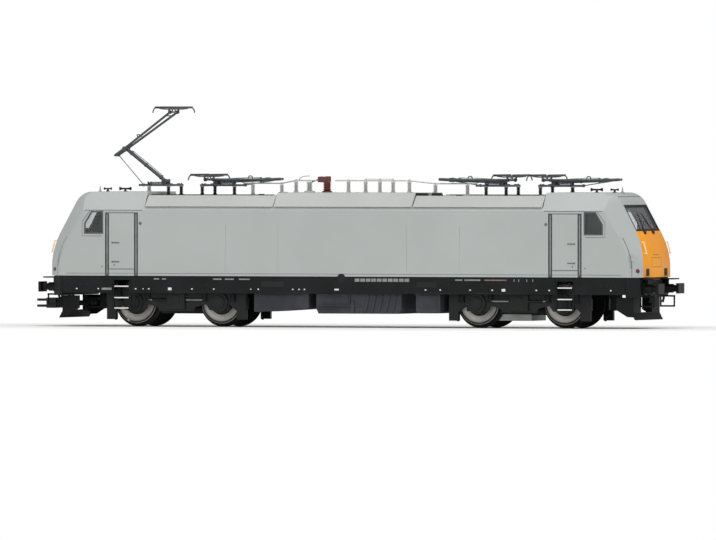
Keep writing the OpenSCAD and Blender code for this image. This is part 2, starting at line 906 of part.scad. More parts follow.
// Post under a pantograph, on the cab roof if it stands beyond the hatch joint
module standing_post(i, p) {
    low = abs(feet[i][0] + feet[i][1] * p[0]) > hatch_end ? roof_top : hatch_roof_top;
    translate([p[0], p[1], low + fit]) post(base_z - low - 2 * fit, post_r);
}

module pantograph_insulators() {
    color([0.08, 0.08, 0.09])
        for (i = [0:3])
            on_foot(i)
                for (p = [[-pair_back, pair_half], [-pair_back, -pair_half], [single_front, 0]])
                    standing_post(i, p);
}

ear_in = 1.75;
ear_t = 0.65;

module pantograph_base(i) {
    slate = [0.24, 0.26, 0.28];
    color(slate)
        on_foot(i)
            difference() {
                union() {
                    block([-pair_back - 0.5, -pair_half - 0.8, base_z],
                        [-pair_back + 0.5, pair_half + 0.8, base_z + base_t]);
                    block([-pair_back - 0.5, -0.5, base_z], [rod_foot + 0.6, 0.5, base_z + base_t]);
                    block([-0.7, -ear_in - ear_t, base_z], [0.7, ear_in + ear_t, base_z + base_t]);
                    for (side = [-1, 1])
                        bar([-pair_back, side * pair_half, base_z + base_t / 2],
                            [single_front, 0, base_z + base_t / 2], 0.32);
                    for (y = [-ear_in - ear_t, ear_in])
                        block([-0.7, y, base_z], [0.7, y + ear_t, hinge_z + 0.7]);
                    // bracket and pin of the control rod
                    block([rod_foot - 0.4, 0, base_z], [rod_foot + 0.4, rod_y - 0.3, base_z + base_t]);
                    translate([rod_foot, rod_y, rod_foot_z])
                        rotate([90, 0, 0]) cylinder(h = 1, r = 0.28, center = true);
                }
                cross_bar([0, 0, hinge_z], 10, hinge_pin_r + run);
            }
}

module lower_arm_piece(i) {
    k = knee(i);
    color([0.2, 0.22, 0.24])
        on_foot(i)
            difference() {
                union() {
                    cross_bar([0, 0, hinge_z], ear_in - 0.1, 0.72);
                    cross_bar([0, 0, hinge_z], ear_in + ear_t, hinge_pin_r);
                    bar([0, 0, hinge_z], [k[0], 0, k[1]], arm_r);
                    cross_bar([k[0], 0, k[1]], knee_hub_half, 0.75);
                }
                cross_bar([k[0], 0, k[1]], 3, hinge_pin_r + run);
            }
}

module upper_arm_piece(i) {
    k = knee(i);
    h = head_at(i);
    t = rod_eye(i);
    color([0.2, 0.22, 0.24])
        on_foot(i)
            difference() {
                union() {
                    cross_bar([k[0], 0, k[1]], knee_half, hinge_pin_r);
                    for (side = [-1, 1]) {
                        bar([k[0], side * knee_half, k[1]], [h[0], side * fork_out, h[1]], tube_r);
                        bar([k[0], side * knee_half, k[1]], [t[0], side * 1, t[1]], tube_r + 0.1);
                        cross_bar([h[0], side * fork_out, h[1]], 0.35, 0.62);
                        cross_bar([k[0], side * (knee_half + 0.1), k[1]], 0.4, 0.7);
                    }
                    translate([t[0], 0.55, t[1]])
                        rotate([90, 0, 0]) cylinder(h = 3.5, r = 0.32, center = true);
                }
                cross_bar([h[0], 0, h[1]], 6, 0.3 + run);
            }
}

strip_apart = 6.7;
strip_w = 0.7;
strip_top = 1.9;
horn_half = strip_half + 2.3;

module pan_head_piece(i) {
    h = head_at(i);
    post_y = 4.4;
    color([0.22, 0.23, 0.25])
        on_foot(i)
            translate([h[0], 0, h[1]]) {
                cross_bar([0, 0, 0], post_y, 0.3);
                both_sides() {
                    block([-0.3, post_y - 0.25, -0.3], [0.3, post_y + 0.25, 1.2]);
                    block([-strip_apart / 2, post_y - 0.25, 0.95], [strip_apart / 2, post_y + 0.25, 1.35]);
                }
                for (u = [-strip_apart / 2, strip_apart / 2]) {
                    block([u - strip_w / 2, -strip_half, strip_top - 0.7],
                        [u + strip_w / 2, strip_half, strip_top]);
                    for (side = [-1, 1]) {
                        bar([u, side * (strip_half - 0.3), strip_top - 0.4],
                            [u, side * (strip_half + 1.5), strip_top - 1], 0.28);
                        bar([u, side * (strip_half + 1.4), strip_top - 0.95],
                            [u, side * horn_half, strip_top - 2], 0.28);
                    }
                }
            }
}

module control_rod_piece(i) {
    t = rod_eye(i);
    color([0.55, 0.57, 0.58])
        on_foot(i)
            translate([0, rod_y, 0])
                difference() {
                    union() {
                        cross_bar([rod_foot, 0, rod_foot_z], 0.2, 0.55);
                        bar([rod_foot, 0, rod_foot_z], [t[0], 0, t[1]], 0.18);
                        cross_bar([t[0], 0, t[1]], 0.2, 0.42);
                    }
                    cross_bar([rod_foot, 0, rod_foot_z], 3, 0.28 + run);
                }
}

module pantograph_base_1() { pantograph_base(0); }
module pantograph_base_2() { pantograph_base(1); }
module pantograph_base_3() { pantograph_base(2); }
module pantograph_base_4() { pantograph_base(3); }
module lower_arm_1() { lower_arm_piece(0); }
module lower_arm_2() { lower_arm_piece(1); }
module lower_arm_3() { lower_arm_piece(2); }
module lower_arm_4() { lower_arm_piece(3); }
module upper_arm_1() { upper_arm_piece(0); }
module upper_arm_2() { upper_arm_piece(1); }
module upper_arm_3() { upper_arm_piece(2); }
module upper_arm_4() { upper_arm_piece(3); }
module pan_head_1() { pan_head_piece(0); }
module pan_head_2() { pan_head_piece(1); }
module pan_head_3() { pan_head_piece(2); }
module pan_head_4() { pan_head_piece(3); }
module control_rod_1() { control_rod_piece(0); }
module control_rod_2() { control_rod_piece(1); }
module control_rod_3() { control_rod_piece(2); }
module control_rod_4() { control_rod_piece(3); }

// ---------- roof line and breaker ----------

wire_z = roof_top + 3.75;
wire_r = 0.22;
lead_z = hatch_roof_top + 3.9;
// Stations of the posts on the middle hatch and on the two outer hatches
mid_posts = [-22.4, -4, 2, 7, 11.6, 17.3];
side_posts = [[-37.6, lead_z], [-27.4, lead_z], [26.4, lead_z], [37.6, lead_z]];
clamp_r = 0.36;
mid_post_h = wire_z - mid_roof_top - clamp_r - 2 * fit;

module roof_insulators() {
    color([0.6, 0.61, 0.6]) {
        for (x = mid_posts)
            translate([x, 0, mid_roof_top + fit]) post(mid_post_h, 0.8);
        for (p = side_posts)
            translate([p[0], 0, hatch_roof_top + fit]) post(p[1] - hatch_roof_top - clamp_r - 2 * fit, 0.8);
        // surge arrester with its flared foot
        translate([-17.7, 0, mid_roof_top + fit]) {
            cylinder(h = 0.5, r = 1.8);
            post(mid_post_h, 1.1);
        }
    }
}

// Rigid conductors along the roof
module roof_busbars() {
    color([0.66, 0.66, 0.64]) {
        bar([-22.8, 0, wire_z], [-14.5, 0, wire_z], wire_r);
        bar([-8.6, 0, wire_z], [17.7, 0, wire_z], wire_r);
        for (side = [-1, 1]) {
            inner = side < 0 ? -22.4 : 17.3;
            next = side < 0 ? -27.4 : 26.4;
            bar([inner, 0, wire_z], [next, 0, lead_z], wire_r);
            bar([next, 0, lead_z], [side * 37.6, 0, lead_z], wire_r);
            bar([side * 37.6, 0, lead_z],
                [side * (panto_inner_x - rod_foot - 0.3), 0, base_z + base_t + wire_r + fit], wire_r);
            for (p = [[inner, wire_z], [next, lead_z], [side * 37.6, lead_z]])
                translate([p[0], 0, p[1]]) sphere(r = clamp_r);
        }
    }
}

breaker_x = -11.5;

module main_breaker() {
    foot = mid_roof_top + fit;
    color([0.33, 0.13, 0.12]) {
        translate([breaker_x, 0, foot]) {
            cylinder(h = 0.5, r = 1.7);
            cylinder(h = 3.2, r = 1.1);
            for (k = [0:3])
                translate([0, 0, 0.8 + k * 0.6]) cylinder(h = 0.3, r = 1.4);
        }
        difference() {
            block([breaker_x - 3, -1.1, foot + 3.1], [breaker_x + 1.6, 1.1, foot + 5.4]);
            cross_bar([breaker_x - 0.4, 0, foot + 4.3], 3, 0.6);
        }
    }
}

horn_long = 2;
horn_short = 1.3;

// Pair of trumpets facing both ways on a short foot
module horn(half, r) {
    for (side = [0, 1])
        mirror([side, 0, 0])
            rotate([0, 90, 0]) cylinder(h = half, r1 = r * 0.45, r2 = r);
    translate([0, 0, -0.9]) cylinder(h = 0.9, r = 0.3);
}

module horns() {
    color([0.07, 0.07, 0.08])
        both_ends() {
            translate([nose_x - 20.8, 0, roof_top + 0.9 + fit]) horn(horn_long, 0.65);
            translate([nose_x - 14.6, 0, roof_top + 0.9 + fit]) horn(horn_short, 0.5);
        }
}

body_shell();
roof_hatch_a();
roof_hatch_middle();
roof_hatch_b();
nose_panel_a();
nose_panel_b();
windscreen_a();
windscreen_b();
side_windows();
headlamps();
tail_lamps();
door_handrails();
nose_grab_rails();
chassis_block();
cab_interior_a();
cab_interior_b();
sole_bars();
buffer_beams();
buffers();
shunter_grips();
plough_a();
plough_b();
cab_steps();
transformer_tank();
equipment_boxes();
coupler_pockets();
coupler_head();
bogie_frame_a();
bogie_frame_b();
wheelset_1();
wheelset_2();
wheelset_3();
wheelset_4();
roof_insulators();
roof_busbars();
main_breaker();
horns();
pantograph_insulators();
pantograph_base_1();
pantograph_base_2();
pantograph_base_3();
pantograph_base_4();
lower_arm_1();
lower_arm_2();
lower_arm_3();
lower_arm_4();
upper_arm_1();
upper_arm_2();
upper_arm_3();
upper_arm_4();
pan_head_1();
pan_head_2();
pan_head_3();
pan_head_4();
control_rod_1();
control_rod_2();
control_rod_3();
control_rod_4();
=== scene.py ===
# A 1:87 electric locomotive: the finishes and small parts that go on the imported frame.
import bmesh
import bpy
import json
from math import cos, pi, radians, sin
from mathutils import Matrix, Vector
from mathutils.bvhtree import BVHTree


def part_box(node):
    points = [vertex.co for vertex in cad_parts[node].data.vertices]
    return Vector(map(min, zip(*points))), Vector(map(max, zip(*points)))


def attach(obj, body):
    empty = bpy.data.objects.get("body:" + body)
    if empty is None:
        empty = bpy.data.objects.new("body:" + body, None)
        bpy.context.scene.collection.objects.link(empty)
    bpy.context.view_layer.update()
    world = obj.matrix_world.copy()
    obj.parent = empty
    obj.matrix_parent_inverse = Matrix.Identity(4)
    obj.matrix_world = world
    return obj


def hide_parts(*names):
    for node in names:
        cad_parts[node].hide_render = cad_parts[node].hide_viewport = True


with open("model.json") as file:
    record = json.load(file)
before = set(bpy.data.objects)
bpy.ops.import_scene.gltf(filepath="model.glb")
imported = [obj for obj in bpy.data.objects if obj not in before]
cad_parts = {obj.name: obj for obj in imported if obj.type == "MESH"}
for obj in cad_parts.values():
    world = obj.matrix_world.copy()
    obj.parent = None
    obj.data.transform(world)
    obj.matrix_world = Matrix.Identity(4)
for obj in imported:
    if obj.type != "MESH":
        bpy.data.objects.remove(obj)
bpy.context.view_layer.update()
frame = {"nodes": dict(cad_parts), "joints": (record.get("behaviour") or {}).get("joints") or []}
mm = 0.001  # sizes below are in millimetres, and finishPiece turns them into metres


def boxOf(node):  # lowest and highest corner of a frame node
    low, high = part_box(node)
    return low / mm, high / mm


shellLow, shellHigh = boxOf("body_shell")
noseX, halfWidth, soleTop, roofTop = shellHigh.x, shellHigh.y, shellLow.z, shellHigh.z
hatchTop = boxOf("roof_hatch_a")[1].z
middleTop = boxOf("roof_hatch_middle")[1].z
hatchEnd = boxOf("roof_hatch_b")[1].x
middleEnd = boxOf("roof_hatch_middle")[1].x
joints = {joint["name"]: joint for joint in frame["joints"]}
outX, outY, outNear = (1, 0, 0), (0, 1, 0), (0, -1, 0)  # ways that bolts and rays point


def pivotOf(joint):
    return Vector(joints[joint]["pos_m"]) / mm


# Materials

def toLinear(hexColour):  # sRGB hex to the linear values that a shader works in
    channels = [int(hexColour[i:i + 2], 16) / 255 for i in (0, 2, 4)]
    return [c / 12.92 if c <= 0.04045 else ((c + 0.055) / 1.055) ** 2.4 for c in channels] + [1]


def addNode(tree, kind, sockets={}, **settings):
    node = tree.nodes.new("ShaderNode" + kind)
    for name, value in settings.items():
        setattr(node, name, value)
    for socket, value in sockets.items():
        if isinstance(value, bpy.types.NodeSocket):
            tree.links.new(value, node.inputs[socket])
        else:
            node.inputs[socket].default_value = value
    return node


def perMetre(size):  # texture scale at which one cell measures this many millimetres
    return 1 / (size * mm)


def startMaterial(name, sockets):
    material = bpy.data.materials.new(name)
    material.use_nodes = True
    tree = material.node_tree
    shader = tree.nodes["Principled BSDF"]
    for socket, value in sockets.items():
        shader.inputs[socket].default_value = value
    return material, tree, shader, addNode(tree, "TexCoord").outputs["Object"]


def colourAndBump(tree, shader, mask, shade, darker, height, depth, strength):
    colour = addNode(tree, "MixRGB", {
        "Fac": mask, "Color1": toLinear(darker), "Color2": toLinear(shade)})
    bump = addNode(tree, "Bump", {"Height": height, "Distance": depth * mm, "Strength": strength})
    tree.links.new(colour.outputs["Color"], shader.inputs["Base Color"])
    tree.links.new(bump.outputs["Normal"], shader.inputs["Normal"])


socketNames = {"roughness": "Roughness", "coat": "Coat Weight", "coatRoughness": "Coat Roughness",
               "specular": "Specular IOR Level"}


def grainedFinish(name, shade, darker, drift, grain, depth, **gloss):
    # A colour that drifts between two shades, over a surface with a fine grain.
    # drift and grain are the sizes of the clouds and of the grain, depth is the grain's height.
    material, tree, shader, place = startMaterial(
        name, {socketNames[key]: value for key, value in gloss.items()})
    cloud = addNode(tree, "TexNoise", {"Vector": place, "Scale": perMetre(drift), "Detail": 4.0})
    spread = addNode(tree, "MapRange", {
        "Value": cloud.outputs["Fac"], "From Min": 0.35, "From Max": 0.65})
    fine = addNode(tree, "TexNoise", {"Vector": place, "Scale": perMetre(grain), "Detail": 2.0})
    colourAndBump(tree, shader, spread.outputs["Result"], shade, darker, fine.outputs["Fac"], depth, 0.6)
    return material


# Satin lacquer sprayed on ABS: even colour with a soft sheen. The real orange peel is
# 0.3 mm, and it is drawn at 0.8 mm so that it shows.
shellLacquer = grainedFinish("satinLacquerGrey", "aeb3b1", "a9aeac", 24, 0.8, 0.006,
                             roughness=0.4, coat=0.12, coatRoughness=0.3)
roofLacquer = grainedFinish("mattLacquerLightGrey", "b5b8b4", "afb2ae", 16, 0.7, 0.008, roughness=0.52)
noseLacquer = grainedFinish("satinLacquerYellow", "fda51a", "f59c14", 12, 0.8, 0.006,
                            roughness=0.42, coat=0.05, coatRoughness=0.3, specular=0.25)
# Painted shade for the grooves and seams: dull and darker than the wall, so that each line reads. The door
# fittings and lamp rims use the same dull grey as their own colour
grooveShadeAndFittingGrey = grainedFinish("paintedGrooveShadeAndFittingGrey", "6f7472", "5f6462", 5, 0.5, 0.004, roughness=0.75)
# Black ABS from a spark-eroded tool: deep black with a dusty, finely pitted sheen
frameMoulding = grainedFinish("mouldedAbsBlack", "1a1b1d", "121314", 9, 0.5, 0.014, roughness=0.58,
                              specular=0.18)
# The same ABS with a little grey in it
tankMoulding = grainedFinish("mouldedAbsTank", "43464b", "383a3f", 9, 0.5, 0.014, roughness=0.6,
                             specular=0.2)
# Black acetal, slippery and a little shinier than ABS
bogieMoulding = grainedFinish("mouldedAcetalBlack", "1d1e20", "131415", 7, 0.6, 0.012, roughness=0.45,
                              specular=0.25)
bufferMoulding = grainedFinish("mouldedAcetalBuffer", "141517", "0d0e0f", 6, 0.8, 0.008, roughness=0.42,
                               specular=0.15)
hornMoulding = grainedFinish("mouldedStyreneBlack", "17181a", "0f1011", 4, 0.6, 0.006, roughness=0.34,
                             specular=0.3)
cabMoulding = grainedFinish("mouldedAbsCharcoal", "2a2c2f", "222427", 8, 0.6, 0.012, roughness=0.6)
cabLining = grainedFinish("mouldedAbsLining", "212428", "1a1d20", 12, 0.9, 0.01, roughness=0.7)
seatMoulding = grainedFinish("mouldedAbsSeatBlue", "2b3440", "232b35", 5, 0.5, 0.012, roughness=0.65)
# Hard rubber of the window gaskets: black and dull
gasketRubber = grainedFinish("rubberGasket", "1b1c1d", "151616", 4, 0.4, 0.01, roughness=0.68)
gasketGrey = grainedFinish("rubberGasketGrey", "54575a", "494c4f", 4, 0.4, 0.01, roughness=0.62)
# Insulators moulded in glossy resin
greyResin = grainedFinish("glossResinGrey", "c4c6c3", "b6b8b5", 3, 0.6, 0.004, roughness=0.32, coat=0.3)
blackResin = grainedFinish("glossResinBlack", "1a1b1d", "131415", 3, 0.6, 0.004, roughness=0.28, coat=0.2)
brownResin = grainedFinish("glossResinBrown", "64291f", "521f19", 3, 0.6, 0.005, roughness=0.33, coat=0.25)
# Slate enamel on etched brass: thin, slightly grainy paint
slateEnamel = grainedFinish("slateEnamel", "454b50", "393f43", 5, 0.35, 0.01, roughness=0.44)
railEnamel = grainedFinish("greyEnamelWire", "8d918f", "828684", 5, 0.5, 0.005, roughness=0.4)
grabEnamel = grainedFinish("paleYellowEnamelWire", "f1deb4", "e9d3a4", 5, 0.5, 0.005, roughness=0.4)
# Carbon of the contact strips: graphite black with a sooty grain
stripCarbon = grainedFinish("pressedCarbon", "33363a", "222427", 1.5, 0.4, 0.02, roughness=0.62)
# Tampon printing ink: opaque, dead flat
whiteInk = grainedFinish("tamponInkWhite", "eceeec", "dfe1df", 3, 0.4, 0.002, roughness=0.55)
greyInk = grainedFinish("tamponInkGrey", "8f918f", "7c7e7c", 1.2, 0.4, 0.002, roughness=0.6)
roseInk = grainedFinish("tamponInkRose", "8a6f6a", "77605c", 1.2, 0.4, 0.002, roughness=0.6)
# Tinted lamp inserts: smoky brown styrene that looks almost black when unlit
smokeLens = grainedFinish("tintedStyreneSmoke", "2e1a13", "22130e", 2, 0.8, 0.002,
                          roughness=0.42, specular=0.12)
redLens = grainedFinish("tintedStyreneRed", "5c1a20", "491318", 2, 0.8, 0.002,
                        roughness=0.25, coat=0.3, coatRoughness=0.1)


def bareMetal(name, shade, darker, roughness, stretch, depth):
    # Bright metal with fine draw marks. stretch gives the size of a mark along X, Y and Z.
    material, tree, shader, place = startMaterial(name, {"Metallic": 1.0, "Roughness": roughness})
    marks = addNode(tree, "Mapping", {"Vector": place, "Scale": [perMetre(size) for size in stretch]})
    streak = addNode(tree, "TexNoise", {"Vector": marks.outputs["Vector"], "Scale": 1.0, "Detail": 3.0})
    colourAndBump(tree, shader, streak.outputs["Fac"], shade, darker, streak.outputs["Fac"], depth, 0.5)
    return material


# Nickel-plated wire, drawn along X: bright with long faint streaks
nickelWire = bareMetal("nickelWire", "c9c8c3", "aeada8", 0.3, (6, 0.3, 0.3), 0.003)
springWire = bareMetal("springSteelWire", "a9abad", "8b8d90", 0.35, (5, 0.3, 0.3), 0.003)
# Zinc pressure casting: dull grey metal with flow marks
zincCasting = bareMetal("zincCasting", "9a9d9a", "7b7e7c", 0.48, (3, 2, 1.5), 0.01)


def turnedSteel(name, shade, darker, roughness, metallic, centre):
    # Steel turned on a lathe: rings about the axle. The real tool marks are 0.1 mm apart. They are
    # drawn 2.2 mm apart so that they show: the texture's period is 2 pi / 20 of a unit.
    material, tree, shader, place = startMaterial(name, {"Metallic": metallic, "Roughness": roughness})
    onAxle = addNode(tree, "Mapping", {"Vector": place, "Location": [-c * mm for c in centre]})
    rings = addNode(tree, "TexWave", {
        "Vector": onAxle.outputs["Vector"], "Scale": perMetre(0.35) / 20, "Distortion": 0.6,
        "Detail": 2.0}, wave_type="RINGS", rings_direction="Y")
    blotch = addNode(tree, "TexNoise", {"Vector": place, "Scale": perMetre(2.5), "Detail": 3.0})
    mixed = addNode(tree, "Math", {0: rings.outputs["Fac"], 1: blotch.outputs["Fac"]}, operation="MULTIPLY")
    colourAndBump(tree, shader, mixed.outputs["Value"], shade, darker, rings.outputs["Fac"], 0.004, 0.4)
    return material


glazingIndex = {"side": 1.45, "front": 1.22}  # styrene has 1.59; the steep front pane would mirror too much


def clearStyrene(name, tint, roughness, index):
    # Clear injection-moulded polystyrene: see-through, with a hint of flow in the surface
    material, tree, shader, place = startMaterial(name, {
        "Base Color": toLinear(tint), "Transmission Weight": 1.0, "IOR": index, "Roughness": roughness})
    flow = addNode(tree, "TexNoise", {"Vector": place, "Scale": perMetre(6), "Detail": 1.0})
    bump = addNode(tree, "Bump", {"Height": flow.outputs["Fac"], "Distance": 0.01 * mm, "Strength": 0.06})
    tree.links.new(bump.outputs["Normal"], shader.inputs["Normal"])
    return material


glazing = clearStyrene("clearStyreneGlazing", "e3e6e7", 0.0, glazingIndex["side"])
screenGlazing = clearStyrene("clearStyreneWindscreen", "dde1e3", 0.03, glazingIndex["front"])
print("materials made")


# Shapes

def addBlock(bm, low, high, bevel=0.0):
    low, high = Vector(low), Vector(high)
    verts = bmesh.ops.create_cube(bm, size=1)["verts"]
    bmesh.ops.scale(bm, vec=high - low, verts=verts)
    bmesh.ops.translate(bm, vec=(low + high) / 2, verts=verts)
    if bevel:
        edges = list({edge for vert in verts for edge in vert.link_edges})
        bmesh.ops.bevel(bm, geom=edges, offset=bevel, offset_type="OFFSET", affect="EDGES",
                        segments=2, profile=0.5, material=-1)


def both(size):  # a pair of places, either side of the middle
    return -size, size


def placeAlong(bm, verts, centre, along):  # turns what stands on Z to point along
    turn = Vector(along).to_track_quat("Z", "Y").to_matrix().to_4x4()
    bmesh.ops.transform(bm, matrix=Matrix.Translation(centre) @ turn, verts=verts)


def addRod(bm, start, end, radius, segments=16):
    start, end = Vector(start), Vector(end)
    verts = bmesh.ops.create_cone(bm, cap_ends=True, segments=segments, radius1=radius, radius2=radius,
                                  depth=(end - start).length)["verts"]
    placeAlong(bm, verts, (start + end) / 2, end - start)


def addLathe(bm, profile, centre, axis=(0, 0, 1), steps=24, ring=False):
    # profile has radius and height pairs, and closes on the axis unless it is a ring
    if not ring:
        ends = [[(0, height)] if radius else [] for radius, height in (profile[0], profile[-1])]
        profile = ends[0] + profile + ends[1]
    before = set(bm.verts)
    line = [bm.verts.new((radius, 0, height)) for radius, height in profile]
    edges = [bm.edges.new(pair) for pair in zip(line, line[1:])]
    bmesh.ops.spin(bm, geom=line + edges, cent=(0, 0, 0), axis=(0, 0, 1), angle=2 * pi,
                   steps=steps, use_merge=True)
    placeAlong(bm, [vert for vert in bm.verts if vert not in before], centre, axis)


def addStud(bm, radius, low, high, centre, axis=(0, 0, 1), steps=6):  # a plain bolt head or disc
    addLathe(bm, [(radius, low), (radius, high)], centre, axis, steps)


def addTube(bm, points, radius, smooth=False, sides=3):  # a wire along points
    curve = bpy.data.curves.new("route", "CURVE")
    curve.dimensions = "3D"
    curve.bevel_depth = radius
    curve.bevel_resolution = sides
    curve.use_fill_caps = True
    spline = curve.splines.new("NURBS" if smooth else "POLY")
    spline.points.add(len(points) - 1)
    for spot, point in zip(spline.points, points):
        spot.co = (*point, 1)
    if smooth:
        spline.order_u = 3
        spline.use_endpoint_u = True
        spline.resolution_u = 6
    holder = bpy.data.objects.new("route", curve)
    mesh = bpy.data.meshes.new_from_object(holder)
    bm.from_mesh(mesh)
    bpy.data.objects.remove(holder)
    bpy.data.meshes.remove(mesh)


def addHelix(bm, foot, top, radius, turns, wire, sides=2):  # a coil spring
    foot, along = Vector(foot), Vector(top) - Vector(foot)
    turn = along.to_track_quat("Z", "Y").to_matrix()
    count = int(turns * 10)
    points = []
    for k in range(count + 1):
        angle = 2 * pi * turns * k / count
        ring = Vector((radius * cos(angle), radius * sin(angle), 0))
        points.append(foot + along * (k / count) + turn @ ring)
    addTube(bm, points, wire, sides=sides)


def addCopies(bm, *turns):  # copies of everything made so far, mirrored or turned half round
    for turn in turns:
        scale = {"mirrorX": (-1, 1, 1), "mirrorY": (1, -1, 1), "halfTurn": (-1, -1, 1)}[turn]
        copied = bmesh.ops.duplicate(bm, geom=bm.verts[:] + bm.edges[:] + bm.faces[:])["geom"]
        verts = [item for item in copied if isinstance(item, bmesh.types.BMVert)]
        bmesh.ops.scale(bm, vec=scale, verts=verts)
        if turn != "halfTurn":
            bmesh.ops.reverse_faces(bm, faces=[f for f in copied if isinstance(f, bmesh.types.BMFace)])


def joinShapes(bm, parts):  # moves the parts into bm
    mesh = bpy.data.meshes.new("parts")
    parts.to_mesh(mesh)
    parts.free()
    bm.from_mesh(mesh)
    bpy.data.meshes.remove(mesh)


def colourNew(bm, before, slot):  # faces made since before take that material slot
    for face in bm.faces:
        if face not in before:
            face.material_index = slot
    return set(bm.faces)


# Angles between flat and curve, in radians, make one curve of two faces, if the other one is at
# least this share as wide. A face that is narrow is always smooth.
shading = {"flatAngle": 0.006, "curveAngle": 0.4, "share": 0.3, "narrow": 0.14, "creaseDegrees": 32}
merge = {"piece": 0.0004, "node": 0.004, "island": 0.001}  # points closer than this become one


def flattenPanels(bm):  # wide flat faces keep their own direction, so that they don't shade like pillows
    width = {face: 2 * face.calc_area() / max(face.calc_perimeter(), 1e-6) for face in bm.faces}
    for face in bm.faces:
        near = [(edge.calc_face_angle(0), other) for edge in face.edges if len(edge.link_faces) == 2
                for other in edge.link_faces if other is not face]
        least = shading["share"] * min(width[face], 1)
        curved = any(shading["flatAngle"] < angle < shading["curveAngle"] and width[other] > least
                     for angle, other in near)
        face.smooth = curved or width[face] < shading["narrow"]


def finishPiece(bm, name, materials, body="body", stands=()):
    bmesh.ops.remove_doubles(bm, verts=bm.verts, dist=merge["piece"])
    bmesh.ops.recalc_face_normals(bm, faces=bm.faces)
    flattenPanels(bm)
    bmesh.ops.scale(bm, vec=(mm, mm, mm), verts=bm.verts)
    rounded = [face.smooth for face in bm.faces]
    mesh = bpy.data.meshes.new(name)
    bm.to_mesh(mesh)
    bm.free()
    for material in materials:
        mesh.materials.append(material)
    mesh.set_sharp_from_angle(angle=radians(shading["creaseDegrees"]))
    mesh.polygons.foreach_set("use_smooth", rounded)  # the line above resets them
    piece = bpy.data.objects.new(name, mesh)
    bpy.context.scene.collection.objects.link(piece)
    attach(piece, body)
    if stands:
        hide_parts(*stands)


def nodeMesh(node, flat=1.0):  # a frame node's mesh as clean faces, ready to be worked on
    bm = bmesh.new()
    bm.from_mesh(frame["nodes"][node].data)
    bmesh.ops.scale(bm, vec=(1 / mm,) * 3, verts=bm.verts)
    bmesh.ops.remove_doubles(bm, verts=bm.verts, dist=merge["node"])
    bmesh.ops.dissolve_limit(bm, angle_limit=radians(flat), verts=bm.verts, edges=bm.edges)
    for layer in list(bm.loops.layers.float_vector.values()):
        bm.loops.layers.float_vector.remove(layer)
    for face in bm.faces:
        face.material_index = 0
    return bm


def softenEdges(bm, width, sharp=30):  # breaks the sharp outer edges, as a mould does
    edges = [edge for edge in bm.edges if len(edge.link_faces) == 2
             and edge.calc_face_angle(0) > radians(sharp)
             and all(face.material_index == 0 for face in edge.link_faces)]
    bmesh.ops.bevel(bm, geom=edges, offset=width, offset_type="OFFSET", affect="EDGES", segments=2,
                    profile=0.5, material=-1, clamp_overlap=False)


def islandsOf(node):  # box of each separate solid of a node, as low and high corners
    bm = bmesh.new()
    bm.from_mesh(frame["nodes"][node].data)
    bmesh.ops.remove_doubles(bm, verts=bm.verts, dist=merge["island"] * mm)
    left, boxes = set(bm.verts), []
    while left:
        front = [left.pop()]
        found = list(front)
        while front:
            near = [edge.other_vert(vert) for vert in front for edge in vert.link_edges]
            front = [vert for vert in set(near) if vert in left]
            left.difference_update(front)
            found += front
        spots = [vert.co / mm for vert in found]
        boxes.append(tuple(Vector([pick(spot[i] for spot in spots) for i in range(3)])
                           for pick in (min, max)))
    bm.free()
    return sorted(boxes, key=lambda box: tuple(box[0]))


skins = {}


def hitOn(node, start, direction):  # where a straight line first meets a node's surface
    if node not in skins:
        mesh = frame["nodes"][node].data
        skins[node] = BVHTree.FromPolygons([vert.co / mm for vert in mesh.vertices],
                                           [list(face.vertices) for face in mesh.polygons])
    return skins[node].ray_cast(Vector(start), Vector(direction))[0]


# Frame nodes that keep their shape: a finish alone, or cleaned, with softened edges and added details

def giveFinish(material, *nodes):
    for node in nodes:
        frame["nodes"][node].data.materials[0] = material


def dressNode(node, materials, width, body="body", parts=None, detail=None, sharp=30, flat=1.0):
    bm = nodeMesh(node, flat)
    softenEdges(bm, width, sharp)
    if detail:
        detail(bm)
    if parts:
        joinShapes(bm, parts)
    words = node.split("_")
    name = words[0] + "".join(word.capitalize() for word in words[1:]) + "Finished"
    finishPiece(bm, name, materials, body, [node])


# Body shell: lacquer outside, dark lining inside, painted shade in the grooves, and the seams cut in

shell = {"edge": 0.07, "seam": 0.2, "seamDepth": 0.1, "hem": 0.8, "hemReach": 97, "eaveSeam": 37.3,
         "eaveReach": (70.2, 90.5), "visorSeam": 42.06, "visorHalf": 11.2, "cheekSeam": 16.2,
         "cheekHeights": (15.9, 18, 20, 22, 24, 26, 27.4, 28.6), "panelLines": (22.5, 40.9),
         "panelTop": 32.5, "windowRim": 0.75, "handleHeights": (20.3, 26.6), "handle": (78.3, 81.05),
         "keyholeX": 80.5,
         "socket": (70.9, 33), "lockPin": (84.4, 18.7)}
lined, seamShade = 1, 2  # the shell's material slots, after the lacquer


def cutOut(bm, cutter, materials):  # takes the cutter's shape out of a mesh
    bmesh.ops.recalc_face_normals(cutter, faces=cutter.faces)
    holders = []
    for shape in (bm, cutter):
        mesh = bpy.data.meshes.new("seamTool")
        shape.to_mesh(mesh)
        shape.free()
        for material in materials:
            mesh.materials.append(material)
        holders.append(bpy.data.objects.new("seamTool", mesh))
        bpy.context.scene.collection.objects.link(holders[-1])
    cut = holders[0].modifiers.new("cut", "BOOLEAN")
    cut.operation = "DIFFERENCE"
    cut.solver = "EXACT"
    cut.use_self = True
    cut.object = holders[1]
    made = bmesh.new()
    made.from_object(holders[0], bpy.context.evaluated_depsgraph_get())
    for holder in holders:
        bpy.data.meshes.remove(holder.data)
    return made


